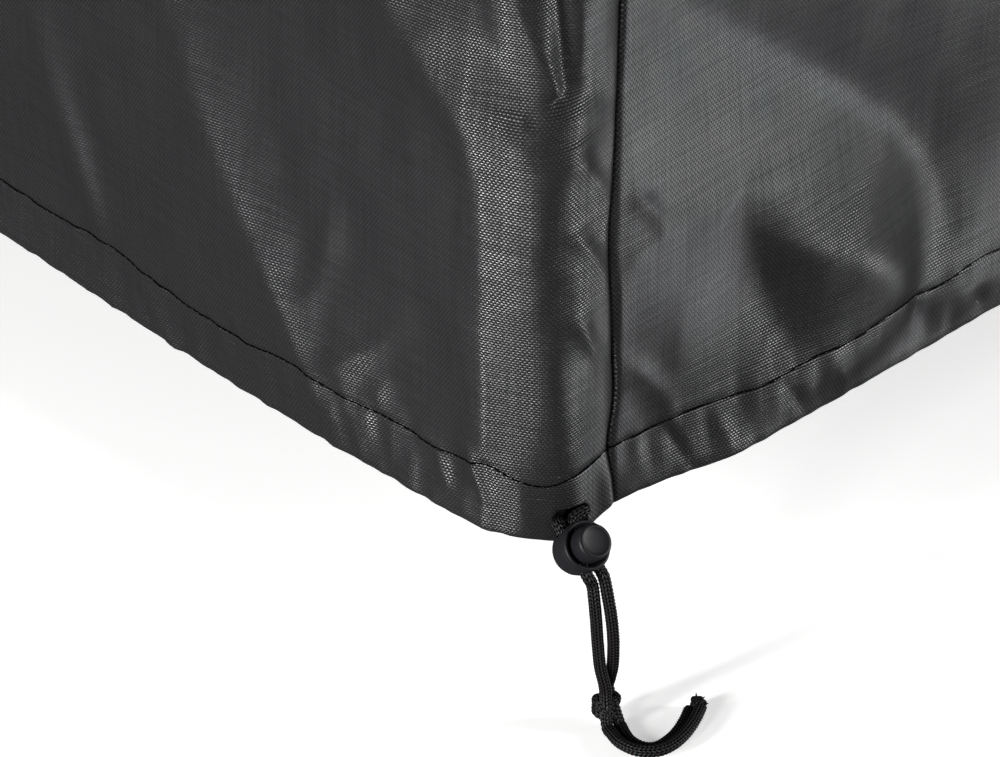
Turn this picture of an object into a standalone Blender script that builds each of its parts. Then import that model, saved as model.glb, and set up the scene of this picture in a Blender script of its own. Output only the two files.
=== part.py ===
"""Fitted patio furniture cover: five sewn cloth panels, a drawcord in the hem channel, and a push-button cord lock.

Metres, +Z up. The origin is the centre of the underside of the top, +X runs along the cover's length and +Y to its
back. Heights h are counted up from the hem's line, and walks u run round the hem, anticlockwise seen from
above, from the point of the corner at +X, -Y where the cords come out.
"""

import math

import bmesh
import bpy
import numpy as np
from mathutils import Matrix, Vector

# ---------------------------------------------------------------- driving dimensions
HALF_LENGTH = 0.450
HALF_WIDTH = 0.300
DROP = 0.385  # underside of the top down to the hem
GROUND = 0.068  # hem down to the ground, where the cord ends lie
CLOTH = 0.0012
GAP = 0.0003  # clearance between two pieces that touch
HEM_CORNER = 0.028  # radius of the corners at the hem
TOP_CORNER = 0.016  # radius of the corners at the top edge
SEAM_WALK = 0.033  # from a corner's point to its seam
SKIRT = 0.0030  # depth of the top panel's turned-down edge
SHOULDER = 0.0072  # how far in the top panel's edge rounding runs

CORD = 0.0020  # radius of the drawcord
FOLD = CORD + 0.0007 + CLOTH  # outer radius of the hem's fold round the cord

EYELET_WALK = 0.0168  # middle of the buttonhole that lets the cords out
EYELET_HEIGHT = 0.0086
EYELET_LONG = 0.0144
EYELET_TALL = 0.0098
PAIR_WALK = 0.0162  # middle of the two cords where they leave the channel

LOCK_CENTRE = Vector((0.4581, -0.2825, -0.3855))  # middle of the cross hole
LOCK_AXIS = Vector((0.7375, -0.0473, 0.6737)).normalized()  # out through the button
LOCK_ACROSS = LOCK_AXIS.cross(Vector((0.6752, 0.0455, -0.7363))).normalized()
LOCK_THROUGH = LOCK_ACROSS.cross(LOCK_AXIS)  # the way the cords run
LOCK_HOLE_AT = 0.0075  # from the barrel's foot to the middle of the cross hole
PRESS = 0.0025  # travel of the button
LOCK_CUT = 0.024  # length of the cutters that go right through the lock
LOCK_PITCH = 0.0052  # between the middles of the two cords in the lock
PAIR_PITCH = 0.0044  # and elsewhere, where they touch
HOLE_WIDE = 0.0098
HOLE_TALL = 0.0048
BORE = 0.0063
STEM = 0.0059

# ---------------------------------------------------------------- tables of the draped shape, millimetres
# How far the walls stand out from the hem's rounded rectangle.
WALL_COLUMNS = ("height", "out")
WALL = (
    (0, 0.0),
    (20, 0.6),
    (60, 1.6),
    (150, 2.0),
    (260, 0.5),
    (375, -3.0),
)

# How far each seam wanders along the walk.
SEAM_COLUMNS = ("height", "shift")
SEAM_WANDER = (
    (0, 3.8),
    (12, 3.1),
    (25, 1.3),
    (42, 3.2),
    (58, 1.6),
    (72, 0.2),
    (90, -1.2),
    (110, -1.0),
    (125, 1.0),
    (150, 3.8),
    (175, 5.8),
    (205, 6.0),
    (290, 2.5),
    (375, 0.0),
)

# How the gathered hem stands in and out near the cord's corner: at its lower edge and at its stitch line.
SWAY_COLUMNS = ("walk", "edge", "stitch")
SWAY = (
    (-330, 0.0, 0.0),
    (-252, -1.7, -3.6),
    (-199, -0.4, -2.0),
    (-158, 0.2, 0.6),
    (-128, 0.6, 1.8),
    (-100, 0.5, 2.8),
    (-82, 0.6, 3.8),
    (-62, -0.3, 0.2),
    (-45, -0.5, -1.8),
    (-22, -1.2, -2.6),
    (-8, -1.0, -1.6),
    (10, 0.0, 0.0),
    (36, -1.8, -2.6),
    (50, -0.8, -3.2),
    (68, 1.6, -0.8),
    (86, 3.6, 1.8),
    (104, 3.0, 5.0),
    (131, 1.8, 4.8),
    (155, 1.0, 2.6),
    (171, 0.6, -0.8),
    (190, 0.0, 2.4),
    (213, -0.4, 1.6),
    (300, 0.0, 0.0),
)

# How far the hem hangs below its line there.
SAG_COLUMNS = ("walk", "sag")
SAG = (
    (-330, 2.2),
    (-34, 2.4),
    (-14, 2.1),
    (4, 3.1),
    (14, 5.1),
    (24, 5.3),
    (34, 2.6),
    (58, 1.6),
    (75, 2.5),
    (300, 2.2),
)

# Ridges and troughs, each by its crest line: walk, height, rise, reach to the left or below, reach to the right or
# above, and how far from the line the crest is rounded off.
FOLD_COLUMNS = ("walk", "height", "rise", "low", "high", "soft")
FOLDS = (
    (  # the long slanting fold
        (-178, 175, 0.0, 110, 26, 4.0),
        (-160, 142, 2.4, 110, 29, 4.0),
        (-148, 124, 4.0, 110, 31, 3.5),
        (-131, 91, 6.0, 100, 31, 3.5),
        (-120, 74, 6.2, 95, 30, 3.5),
        (-102, 49, 4.4, 85, 23, 3.0),
        (-87, 24, 1.5, 60, 10, 2.0),
        (-80, 12, 0.0, 45, 8, 2.0),
    ),
    (  # the faint fold further along
        (-228, 116, 0.0, 22, 14, 4.0),
        (-212, 69, 2.8, 34, 14, 3.5),
        (-201, 36, 1.6, 22, 10, 3.0),
        (-197, 20, 0.0, 12, 8, 3.0),
    ),
    (  # where the wall's upper part begins to turn towards the corner
        (-72, 250, 0.0, 70, 34, 5.0),
        (-60, 205, 4.2, 70, 40, 4.0),
        (-50, 178, 5.4, 64, 38, 3.0),
        (-40, 168, 5.0, 54, 34, 2.5),
        (-29, 156, 3.6, 40, 27, 2.0),
        (-20, 144, 2.2, 24, 20, 1.5),
        (-17, 128, 1.2, 14, 11, 1.2),
        (-15, 78, 0.9, 10, 10, 1.0),
        (-13, 35, 0.9, 10, 10, 1.0),
        (-18, 12, 0.0, 8, 10, 1.0),
    ),
    (  # the hollow that runs down beside the pleats
        (-24, 230, 0.0, 40, 22, 6.0),
        (-20, 192, -1.8, 36, 20, 6.0),
        (-14, 176, -1.6, 32, 18, 5.0),
        (-6, 165, -1.0, 24, 14, 4.0),
        (2, 158, 0.0, 16, 8, 3.0),
    ),
    (  # the edge where the wall turns the corner
        (7, 158, 1.4, 12, 13, 1.5),
        (8, 151, 2.6, 14, 14, 3.0),
        (4, 143, 2.6, 16, 15, 6.5),
        (6, 130, 3.2, 18, 14, 4.0),
        (5.5, 114, 3.2, 18, 15, 1.6),
        (5.5, 90, 3.2, 18, 15, 2.0),
        (9, 80, 3.2, 18, 14, 2.4),
        (9, 45, 3.1, 18, 14, 2.4),
        (9, 33, 2.8, 18, 14, 3.0),
        (9, 22, 0.9, 16, 14, 3.0),
        (9, 12, -1.6, 14, 14, 3.0),
        (9, 0, -1.6, 14, 14, 3.0),
    ),
    (  # the edge that runs down into the pinch
        (-9, 218, 0.8, 20, 14, 1.2),
        (-2.6, 192, 1.9, 18, 12, 0.8),
        (3.3, 177, 2.3, 16, 9, 0.6),
        (9.5, 164, 1.9, 12, 6, 0.5),
        (12, 160, 0.0, 10, 4, 0.5),
    ),
    (  # the trough beside it
        (11, 232, 0.0, 11, 10, 4.0),
        (12, 210, -2.4, 11, 9.5, 4.0),
        (12.4, 192, -3.3, 10, 8.8, 3.6),
        (13.4, 176, -3.0, 8.5, 7.5, 3.0),
        (13.2, 165, -1.6, 6, 6, 2.0),
        (12.8, 160, 0.0, 3, 4, 1.0),
    ),
    (  # the long slant across the right wall
        (40, 200, 0.0, 60, 60, 10.0),
        (65, 171, -5.0, 80, 60, 9.0),
        (94, 146, -6.0, 90, 62, 9.0),
        (140, 109, -6.5, 95, 64, 9.0),
        (162, 89, -6.0, 90, 60, 8.0),
        (177, 66, -4.5, 80, 50, 7.0),
        (188, 34, -1.8, 60, 40, 6.0),
        (192, 12, 0.0, 50, 40, 6.0),
    ),
    (  # the hollow above its hem
        (66, 100, 0.0, 20, 40, 5.0),
        (80, 92, 1.6, 22, 50, 5.0),
        (105, 74, 3.0, 26, 60, 4.0),
        (138, 54, 3.4, 28, 60, 3.0),
        (157, 41, 2.8, 26, 50, 3.0),
        (178, 12, 0.0, 18, 30, 3.0),
    ),
    (  # folds of the other walls
        (238, 330, 0.0, 34, 40, 5.0),
        (262, 265, 5.0, 34, 40, 5.0),
        (310, 120, 5.0, 34, 40, 4.0),
        (335, 40, 0.0, 34, 40, 4.0),
    ),
    (
        (515, 160, 0.0, 20, 40, 3.0),
        (535, 95, 5.0, 20, 40, 2.0),
        (555, 45, 4.0, 20, 36, 2.0),
        (566, 15, 0.0, 20, 30, 2.0),
    ),
    (
        (575, 340, 0.0, 16, 18, 4.0),
        (575, 240, 3.5, 16, 18, 4.0),
        (575, 110, 3.5, 16, 18, 3.0),
        (575, 20, 0.0, 16, 18, 3.0),
    ),
    (
        (750, 375, 0.0, 40, 60, 6.0),
        (785, 250, 5.0, 40, 60, 5.0),
        (830, 110, 5.5, 40, 60, 4.0),
        (865, 20, 0.0, 40, 60, 4.0),
    ),
    (
        (1135, 300, 0.0, 60, 34, 6.0),
        (1105, 200, 4.5, 60, 34, 5.0),
        (1075, 90, 4.5, 56, 34, 3.0),
        (1055, 20, 0.0, 50, 30, 3.0),
    ),
    (
        (1380, 370, 0.0, 26, 44, 5.0),
        (1400, 260, 5.0, 26, 44, 4.0),
        (1425, 110, 5.5, 26, 44, 3.0),
        (1445, 20, 0.0, 26, 40, 3.0),
    ),
    (
        (1478, 260, 0.0, 15, 15, 4.0),
        (1478, 170, 3.5, 15, 15, 4.0),
        (1478, 70, 3.5, 15, 15, 3.0),
        (1478, 10, 0.0, 15, 15, 3.0),
    ),
    (
        (1710, 375, 0.0, 50, 36, 6.0),
        (1685, 240, 4.5, 50, 36, 5.0),
        (1655, 90, 4.5, 50, 36, 3.0),
        (1635, 10, 0.0, 50, 36, 3.0),
    ),
    (
        (1982, 350, 0.0, 24, 36, 5.0),
        (1990, 240, 4.5, 24, 36, 4.0),
        (2003, 90, 4.5, 24, 36, 3.0),
        (2014, 15, 0.0, 24, 36, 3.0),
    ),
    (
        (2038, 280, 0.0, 14, 14, 3.0),
        (2038, 180, -3.0, 14, 14, 3.0),
        (2038, 80, -3.0, 14, 14, 3.0),
        (2038, 15, 0.0, 14, 14, 3.0),
    ),
    (
        (2230, 375, 0.0, 50, 60, 7.0),
        (2265, 250, 5.0, 50, 60, 6.0),
        (2305, 110, 5.5, 50, 60, 4.0),
        (2338, 20, 0.0, 50, 60, 4.0),
    ),
    (
        (2566, 375, 0.0, 60, 40, 7.0),
        (2548, 240, 4.0, 60, 40, 6.0),
        (2530, 110, 4.0, 60, 40, 4.0),
        (2516, 25, 0.0, 60, 40, 4.0),
    ),
)

# Long waves that the slack cloth makes all round away from that corner: waves in one walk round, size, start.
WAVE_COLUMNS = ("count", "size", "phase")
WAVES = ((9, 2.4, 0.6), (17, 1.8, 2.1), (31, 1.0, 4.0))
CALM = (-0.330, 0.300)  # the stretch that the sway table covers

# Rows of the walls below their top edge, as heights.
WALL_ROWS = (325, 270, 225, 196, 172, 148, 120, 92, 64, 40, 20, 9)
# Points of the channel's inner layer: depth behind the cloth's face, height.
LAYER_COLUMNS = ("depth", "height")
LAYER = ((6.2, 9.0), (3.4, 16.0), (2.9, 20.0))

# Turned profiles, (radius, height above the barrel's foot), from the middle of the foot round to the axis.
BARREL_PROFILE = (
    (0.0, 0.0),
    (3.4, 0.1),
    (5.6, 0.9),
    (7.2, 2.4),
    (8.0, 4.4),
    (8.2, 6.6),
    (8.2, 11.4),
    (8.05, 12.1),
    (7.6, 12.5),
    (7.2, 12.4),
    (BORE * 1000, 11.2),
    (BORE * 1000, 1.5),
    (0.0, 1.5),
)
PLUNGER_PROFILE = (
    (0.0, 4.2),
    (STEM * 1000, 4.2),
    (STEM * 1000, 17.3),
    (5.5, 17.8),
    (5.1, 18.0),
    (4.6, 17.95),
    (3.2, 17.6),
    (1.6, 17.4),
    (0.0, 17.35),
)

# The cords from the channel to the lock: walk from the middle of the pair, height, and depth in the cloth.
INSIDE_COLUMNS = ("walk", "height", "depth")
INSIDE_FRONT = ((-2.7, 5.2, 3.8), (-2.9, 7.4, 1.17), (-5.8, 10.4, -2.6))
INSIDE_REAR = ((2.8, 5.4, 3.8), (2.7, 8.1, 1.14), (3.0, 12.7, -2.95))
# Free cords below the lock, in millimetres: x and y from the corner's sharp point in plan, and the height.
STRAND_COLUMNS = ("x", "y", "height")
STRAND_FRONT = (
    (14.3, 17.0, -10.9),
    (15.3, 17.0, -16.2),
    (15.6, 17.6, -24.0),
    (15.4, 18.5, -32.3),
    (15.1, 20.0, -43.0),
    (15.6, 21.6, -51.0),
    (15.8, 22.0, -56.0),
)
STRAND_REAR = (
    (15.8, 20.6, -8.9),
    (17.4, 21.0, -16.1),
    (18.1, 22.0, -24.7),
    (17.9, 23.1, -33.8),
    (16.2, 24.6, -44.2),
    (13.9, 25.6, -51.4),
    (13.0, 25.8, -55.7),
)
# The pair of ends that lies on the ground: its middle line, and how steeply the outer cord leans on the inner one.
TAIL_COLUMNS = ("x", "y", "lean_degrees")
TAIL = (
    (19.0, 22.5, 12),
    (23.4, 20.4, 14),
    (28.5, 18.9, 18),
    (34.1, 19.6, 22),
    (37.7, 22.8, 25),
    (38.6, 27.5, 27),
    (37.4, 34.1, 29),
    (34.4, 41.2, 30),
    (30.9, 47.3, 30),
)
KNOT_CENTRE = (14.4, 23.7, -61.0)
KNOT_SIZE = (4.4, 4.4, 4.6)
TIP_CENTRE = (29.6, 49.9, -65.0)
TIP_SIZE = (2.9, 2.6, 2.6)
LOBE_COLUMNS = ("x", "y", "z")
KNOT_LOBES = (
    (-0.75, -0.30, 0.60),
    (0.45, 0.75, 0.55),
    (0.70, 0.60, -0.30),
    (-0.85, 0.05, -0.30),
    (-0.10, -0.55, -0.80),
    (0.65, -0.70, 0.25),
    (-0.35, 0.90, -0.20),
    (0.20, 0.35, -0.92),
)
TIP_LOBES = ((-0.6, 0.7, 0.3), (0.8, 0.2, -0.2), (0.1, 0.4, 0.9))

# ---------------------------------------------------------------- the shape of the cover
ARC = HEM_CORNER * math.pi / 2
SIDE_RUN = 2 * (HALF_WIDTH - HEM_CORNER)
LONG_RUN = 2 * (HALF_LENGTH - HEM_CORNER)
PERIMETER = 4 * ARC + 2 * SIDE_RUN + 2 * LONG_RUN
PIECES = np.cumsum([0.0, ARC, SIDE_RUN, ARC, LONG_RUN, ARC, SIDE_RUN, ARC, LONG_RUN])
CORNERS = tuple(PIECES[2 * k] for k in range(4))  # walk of each corner's point
CORNER_SIGNS = ((1, -1), (1, 1), (-1, 1), (-1, -1))


def smooth(x, xs, ys):
    """Cubic curve through the points xs, ys, flat outside them."""
    xs = np.asarray(xs, float)
    ys = np.asarray(ys, float)
    slopes = np.gradient(ys, xs)
    slopes[0] = 0.0
    slopes[-1] = 0.0
    x = np.clip(x, xs[0], xs[-1])
    k = np.clip(np.searchsorted(xs, x, side="right") - 1, 0, len(xs) - 2)
    width = xs[k + 1] - xs[k]
    t = (x - xs[k]) / width
    return (
        ys[k] * (1 + 2 * t) * (1 - t) ** 2
        + slopes[k] * width * t * (1 - t) ** 2
        + ys[k + 1] * t * t * (3 - 2 * t)
        - slopes[k + 1] * width * t * t * (1 - t)
    )


def column(table, index):
    """One column of a table in millimetres, as metres."""
    return [row[index] / 1000 for row in table]


def ease(x, low, high):
    """0 below low, 1 above high, and a smooth step between."""
    t = np.clip((x - low) / (high - low), 0.0, 1.0)
    return t * t * (3 - 2 * t)


def near_zero(u):
    """The walk as the nearest value to the cord's corner, between minus and plus half the perimeter."""
    return (u + PERIMETER / 2) % PERIMETER - PERIMETER / 2


def outline(u, h):
    """Point and outward normal of the rounded rectangle at walk u and height h, before any fold."""
    u, h = np.broadcast_arrays(np.asarray(u, float), np.asarray(h, float))
    out = smooth(h, column(WALL, 0), column(WALL, 1))
    radius = HEM_CORNER + (TOP_CORNER - HEM_CORNER) * ease(h, 0.10, DROP)
    half = np.stack([HALF_LENGTH + out, HALF_WIDTH + out], -1)
    walk = (u + ARC / 2) % PERIMETER
    piece = np.clip(np.searchsorted(PIECES, walk, side="right") - 1, 0, 7)
    part = (walk - PIECES[piece]) / (PIECES[piece + 1] - PIECES[piece])
    corner = piece // 2
    signs = np.asarray(CORNER_SIGNS, float)
    centre = signs[corner] * (half - radius[..., None])
    after = signs[(corner + 1) % 4] * (half - radius[..., None])
    angle = np.pi / 2 * (corner - 1) + np.pi / 2 * np.where(piece % 2 == 0, part, 1.0)
    normal = np.stack([np.cos(angle), np.sin(angle)], -1)
    along = np.where(piece % 2 == 0, 0.0, part)[..., None]
    point = centre + (after - centre) * along + normal * radius[..., None]
    return point, normal


def crest(u, h, line):
    """One ridge or trough of the fold table."""
    total = np.zeros(np.broadcast(u, h).shape)
    nearest = np.full(total.shape, np.inf)
    line = np.asarray(line) / 1000
    for first, last in zip(line, line[1:]):
        du, dh = last[:2] - first[:2]
        pu = near_zero(u - first[0])
        ph = h - first[1]
        share = np.clip((pu * du + ph * dh) / (du * du + dh * dh), 0.0, 1.0)
        off = np.hypot(pu - share * du, ph - share * dh)
        rise, low, high, soft = (a + (b - a) * share for a, b in zip(first[2:], last[2:]))
        reach = np.where(dh * pu > du * ph, low, high)
        slope = (np.hypot(off, soft) - soft) / (np.hypot(reach, soft) - soft)
        total = np.where(off < nearest, rise * np.clip(1 - slope, 0.0, 1.0) ** 2, total)
        nearest = np.minimum(nearest, off)
    return total


def folds(u, h):
    """How far the cloth's outer face stands out from the outline."""
    walk = near_zero(u)
    calm = ease(walk, CALM[0] - 0.06, CALM[0]) * (1 - ease(walk, CALM[1], CALM[1] + 0.06))
    low = 1 - ease(h, 0.018, 0.085)
    edge = smooth(walk, column(SWAY, 0), column(SWAY, 1))
    stitch = smooth(walk, column(SWAY, 0), column(SWAY, 2))
    total = (edge + (stitch - edge) * ease(h, 0.0, 0.020)) * low
    slack = ease(DROP - h, 0.02, 0.16)
    for count, size, phase in WAVES:
        wave = np.sin(2 * np.pi * count * u / PERIMETER + phase)
        total = total + size / 1000 * wave * (1 - calm) * slack
    free = ease(h, 0.004, 0.034) * 0.85 + 0.15
    top = ease(DROP - h, 0.012, 0.05)
    for line in FOLDS:
        total = total + crest(u, h, line) * free * top
    return total


def place(u, h, depth=0.0, groove=0.0):
    """Points at walk u and height h, depth inside the cloth's outer face."""
    point, normal = outline(u, h)
    out = folds(u, h) - depth - groove
    xy = point + normal * out[..., None]
    sag = smooth(near_zero(u), column(SAG, 0), column(SAG, 1)) * (1 - ease(h, 0.004, 0.055))
    z = h - sag - DROP
    return np.concatenate([xy, np.broadcast_to(z, out.shape)[..., None]], -1)


def seam_shift(h):
    return smooth(h, column(SEAM_WANDER, 0), column(SEAM_WANDER, 1))


def seam_groove(u):
    """How far the cloth rolls in beside a seam."""
    seams = [start for start, end in WALLS.values()]
    nearest = min(abs(near_zero(u - seam)) for seam in seams)
    return 0.0014 * max(0.0, 1 - nearest / 0.0039)


# ---------------------------------------------------------------- building helpers
def finish(name, colour, roughness, metallic=0.0):
    material = bpy.data.materials.new(name)
    material.use_nodes = True
    shader = material.node_tree.nodes["Principled BSDF"]
    shader.inputs["Base Color"].default_value = (*colour, 1.0)
    shader.inputs["Roughness"].default_value = roughness
    shader.inputs["Metallic"].default_value = metallic
    return material


def finished(name, shape, material=None):
    """The bmesh as an object of its own, with its faces turned outwards and shaded smooth."""
    bmesh.ops.recalc_face_normals(shape, faces=shape.faces)
    mesh = bpy.data.meshes.new(name)
    shape.to_mesh(mesh)
    shape.free()
    mesh.shade_smooth()
    if material:
        mesh.materials.append(material)
    obj = bpy.data.objects.new(name, mesh)
    bpy.context.scene.collection.objects.link(obj)
    return obj


def solid(name, points, faces, material=None):
    """A closed object from points and the faces between them."""
    shape = bmesh.new()
    spots = [shape.verts.new(tuple(map(float, point))) for point in points]
    for face in faces:
        shape.faces.new([spots[k] for k in face])
    return finished(name, shape, material)


def sweep(rings, folded=False):
    """A closed profile carried through rings of points, with capped ends: (points, faces). A folded strip's second
    half runs back beside its first, so its caps are rows of quads."""
    count, size = rings.shape[:2]
    faces = []
    for i in range(count - 1):
        for j in range(size):
            k = (j + 1) % size
            faces.append((i * size + j, (i + 1) * size + j, (i + 1) * size + k, i * size + k))
    for first in (0, (count - 1) * size):
        if not folded:
            faces.append(tuple(range(first, first + size)))
            continue
        for j in range(size // 2 - 1):
            faces.append((first + j, first + j + 1, first + size - 2 - j, first + size - 1 - j))
    return rings.reshape(-1, 3), faces


def turned(name, profile, segments, material):
    """A solid turned round its own Z from (radius, height) pairs that begin and end on the axis, set on the lock's."""
    shape = bmesh.new()
    spots = [shape.verts.new((radius / 1000, 0.0, height / 1000)) for radius, height in profile]
    edges = [shape.edges.new(pair) for pair in zip(spots, spots[1:])]
    bmesh.ops.spin(shape, geom=spots + edges, axis=(0, 0, 1), steps=segments, angle=2 * math.pi)
    bmesh.ops.remove_doubles(shape, verts=shape.verts, dist=0.00002)
    obj = finished(name, shape, material)
    obj.location = LOCK_CENTRE - LOCK_AXIS * LOCK_HOLE_AT
    obj.rotation_euler = Matrix((LOCK_THROUGH, LOCK_ACROSS, LOCK_AXIS)).transposed().to_euler()
    return obj


def cut(obj, cutter):
    """Takes the cutter's shape out of the object."""
    cutter.hide_render = True
    cutter.display_type = "WIRE"
    modifier = obj.modifiers.new("cut", "BOOLEAN")
    modifier.operation = "DIFFERENCE"
    modifier.solver = "EXACT"
    modifier.object = cutter


def slot(name, centre, wide_axis, tall_axis, wide, tall, length, rounding):
    """A prism with a rounded slot for its section, to cut with. It is long across both axes."""
    through = wide_axis.cross(tall_axis).normalized()
    section = []
    for k in range(20):
        angle = 2 * math.pi * (k + 0.5) / 20
        x = math.cos(angle) * rounding + math.copysign(wide / 2 - rounding, math.cos(angle))
        y = math.sin(angle) * rounding + math.copysign(tall / 2 - rounding, math.sin(angle))
        section.append((x, y))
    rings = [
        [tuple(centre + wide_axis * x + tall_axis * y + through * end) for x, y in section]
        for end in (-length / 2, length / 2)
    ]
    return solid(name, *sweep(np.asarray(rings)))


def lobed(name, centre, size, lobes, material, rows, segments):
    """A small closed lump with rounded lobes."""
    axes = [Vector(lobe).normalized() for lobe in lobes]
    shape = bmesh.new()
    bmesh.ops.create_uvsphere(shape, u_segments=segments, v_segments=rows, radius=1.0)
    for spot in shape.verts:
        swell = max(max(0.0, spot.co.dot(axis)) ** 6 for axis in axes)
        spot.co = Vector(size) * (0.92 + 0.26 * swell) / 1000 * spot.co
    obj = finished(name, shape, material)
    obj.location = corner_point(*centre)
    return obj


def corner_point(x, y, height):
    """A point in millimetres from the corner's sharp point in plan and from the hem's line."""
    return Vector((HALF_LENGTH + x / 1000, -HALF_WIDTH + y / 1000, height / 1000 - DROP))


# ---------------------------------------------------------------- cloth
def wall_profile():
    """The cloth's section as (depth, height) pairs: down the face, round the hem's fold and up the inner layer, and
    back along the inner faces."""
    face = [(0.0, DROP - SKIRT)] + [(0.0, row / 1000) for row in WALL_ROWS] + [(0.0, FOLD)]
    turns = (0.22, 0.5, 0.78)
    under = [(FOLD - FOLD * math.cos(math.pi * t), FOLD - FOLD * math.sin(math.pi * t)) for t in turns]
    layer = [(2 * FOLD, FOLD)] + [(depth / 1000, height / 1000) for depth, height in LAYER]
    inner_radius = FOLD - CLOTH
    back_layer = [(depth - CLOTH, height) for depth, height in reversed(layer)]
    back_under = [
        (FOLD - inner_radius * math.cos(math.pi * t), FOLD - inner_radius * math.sin(math.pi * t))
        for t in reversed(turns)
    ]
    back = [(CLOTH, height) for depth, height in reversed(face)]
    return face + under + layer + back_layer + back_under + back


def stations(start, end):
    """Walks of the sections of a panel: close near the corners, closest by the cord's corner."""
    walks = [start, start + 0.004]
    while walks[-1] < end - 0.004:
        u = walks[-1]
        from_corner = min(abs(near_zero(u + 0.004 - CORNERS[k])) for k in range(4))
        ahead = near_zero(u + 0.004)
        if -0.022 < ahead < SEAM_WALK:
            step = 0.0050
        elif abs(ahead) < 0.070:
            step = 0.0085
        elif abs(ahead) < 0.260:
            step = 0.021
        elif from_corner < 0.042:
            step = 0.013
        else:
            step = 0.072
            for k in range(4):
                room = near_zero(CORNERS[k] - 0.034 - u)
                if 0.0 < room < step:
                    step = max(room, 0.006)
        walks.append(u + step)
    while walks[-1] > end - 0.006:
        walks.pop()
    return walks + [end - 0.004, end]


def panel(name, start, end, material):
    """One wall panel from seam to seam, its edges rolled in a little at the seams."""
    profile = np.asarray(wall_profile())
    depth, height = profile[:, 0], profile[:, 1]
    rings = []
    for u in stations(start + GAP / 2, end - GAP / 2):
        rings.append(place(u + seam_shift(height), height, depth, seam_groove(u)))
    return solid(name, *sweep(np.asarray(rings), folded=True), material)


def ripple(x, y):
    """The top's low unevenness, none at its middle."""
    shape = np.sin(11 * x + 1.2) * np.cos(13 * y - 0.4) + 0.6 * np.sin(23 * x - 17 * y)
    from_middle = np.hypot(x / HALF_LENGTH, y / HALF_WIDTH)
    return 0.0010 * shape * ease(from_middle, 0.10, 0.45) * (1 - ease(from_middle, 0.75, 1.0))


def top_panel(material):
    """The top cloth with its edge turned down to meet the walls."""
    rim = []
    for corner in range(4):
        for share in (-0.5, -0.25, 0.0, 0.25, 0.5):
            rim.append(CORNERS[corner] + share * ARC)
        run = LONG_RUN if corner % 2 else SIDE_RUN
        for share in np.linspace(0, 1, 9 if corner % 2 else 7)[1:-1]:
            rim.append(CORNERS[corner] + ARC / 2 + share * run)
    rim = np.asarray(rim)
    height = DROP - SKIRT + GAP
    edge, normal = outline(rim, np.full(len(rim), DROP - SKIRT))
    edge = edge + normal * folds(rim, np.full(len(rim), height))[:, None]
    sections = (  # inset, z on the outside, then inset and z on the inside
        (0.0, -SKIRT + GAP, CLOTH, -SKIRT + GAP),
        (0.0006, -0.0012, CLOTH + 0.0005, -0.0018),
        (0.0026, 0.0002, CLOTH + 0.0022, -0.0010),
        (SHOULDER, CLOTH, SHOULDER + 0.0004, 0.0),
    )
    shares = (0.86, 0.60, 0.30)
    outer = []
    inner = []
    for inset, z_out, inset_in, z_in in sections:
        outer.append(np.column_stack([edge - normal * inset, np.full(len(rim), z_out)]))
        inner.append(np.column_stack([edge - normal * inset_in, np.full(len(rim), z_in)]))
    for share in shares:
        spot = edge * share
        low = ripple(spot[:, 0], spot[:, 1])
        outer.append(np.column_stack([spot, CLOTH + low]))
        inner.append(np.column_stack([spot, low]))
    size = len(rim)
    rings = inner[::-1] + outer
    points = [tuple(p) for ring in rings for p in ring]
    faces = []
    for i in range(len(rings) - 1):
        for j in range(size):
            k = (j + 1) % size
            faces.append((i * size + j, i * size + k, (i + 1) * size + k, (i + 1) * size + j))
    under_centre = len(points)
    points.append((0.0, 0.0, 0.0))
    over_centre = len(points)
    points.append((0.0, 0.0, CLOTH))
    last = (len(rings) - 1) * size
    for j in range(size):
        k = (j + 1) % size
        faces.append((under_centre, k, j))
        faces.append((over_centre, last + j, last + k))
    return solid("top_panel", points, faces, material)


# ---------------------------------------------------------------- the drawcord
def hem_cord(material):
    """The drawcord's length inside the channel, from one side of the eyelet all the way round to the other."""
    walks = []
    for start, end in WALLS.values():
        walks += stations(start + GAP / 2, end - GAP / 2)[:-1]
    aside = LOCK_PITCH / 2 + CORD + 3 * GAP
    low = PAIR_WALK + aside - float(seam_shift(FOLD))
    high = low - 2 * aside + PERIMETER
    walks = sorted((u - low) % PERIMETER + low for u in walks)
    walks = [low] + [u for u in walks if low + 0.002 < u < high - 0.002] + [high]
    angles = 2 * np.pi * (np.arange(8) + 0.5) / 8
    depth = FOLD + CORD * np.cos(angles)
    height = FOLD + CORD * np.sin(angles)
    rings = [place(u + seam_shift(FOLD), height, depth, seam_groove(u)) for u in walks]
    return solid("drawcord", *sweep(np.asarray(rings)), material)


def smooth_route(route, step):
    """Points about a step apart on a smooth curve through the route."""
    route = [Vector(p) for p in route]
    ends = [2 * route[0] - route[1]] + route + [2 * route[-1] - route[-2]]
    fine = []
    for a, b, c, d in zip(ends, ends[1:], ends[2:], ends[3:]):
        for k in range(24):
            t = k / 24
            bend = (2 * a - 5 * b + 4 * c - d) * t * t + (3 * b - a - 3 * c + d) * t**3
            fine.append(0.5 * (2 * b + (c - a) * t + bend))
    fine.append(route[-1])
    lengths = np.cumsum([0.0] + [(b - a).length for a, b in zip(fine, fine[1:])])
    count = max(2, round(lengths[-1] / step) + 1)
    spots = np.linspace(0.0, lengths[-1], count)
    axes = [np.interp(spots, lengths, [p[k] for p in fine]) for k in range(3)]
    return list(zip(*axes))


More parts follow.
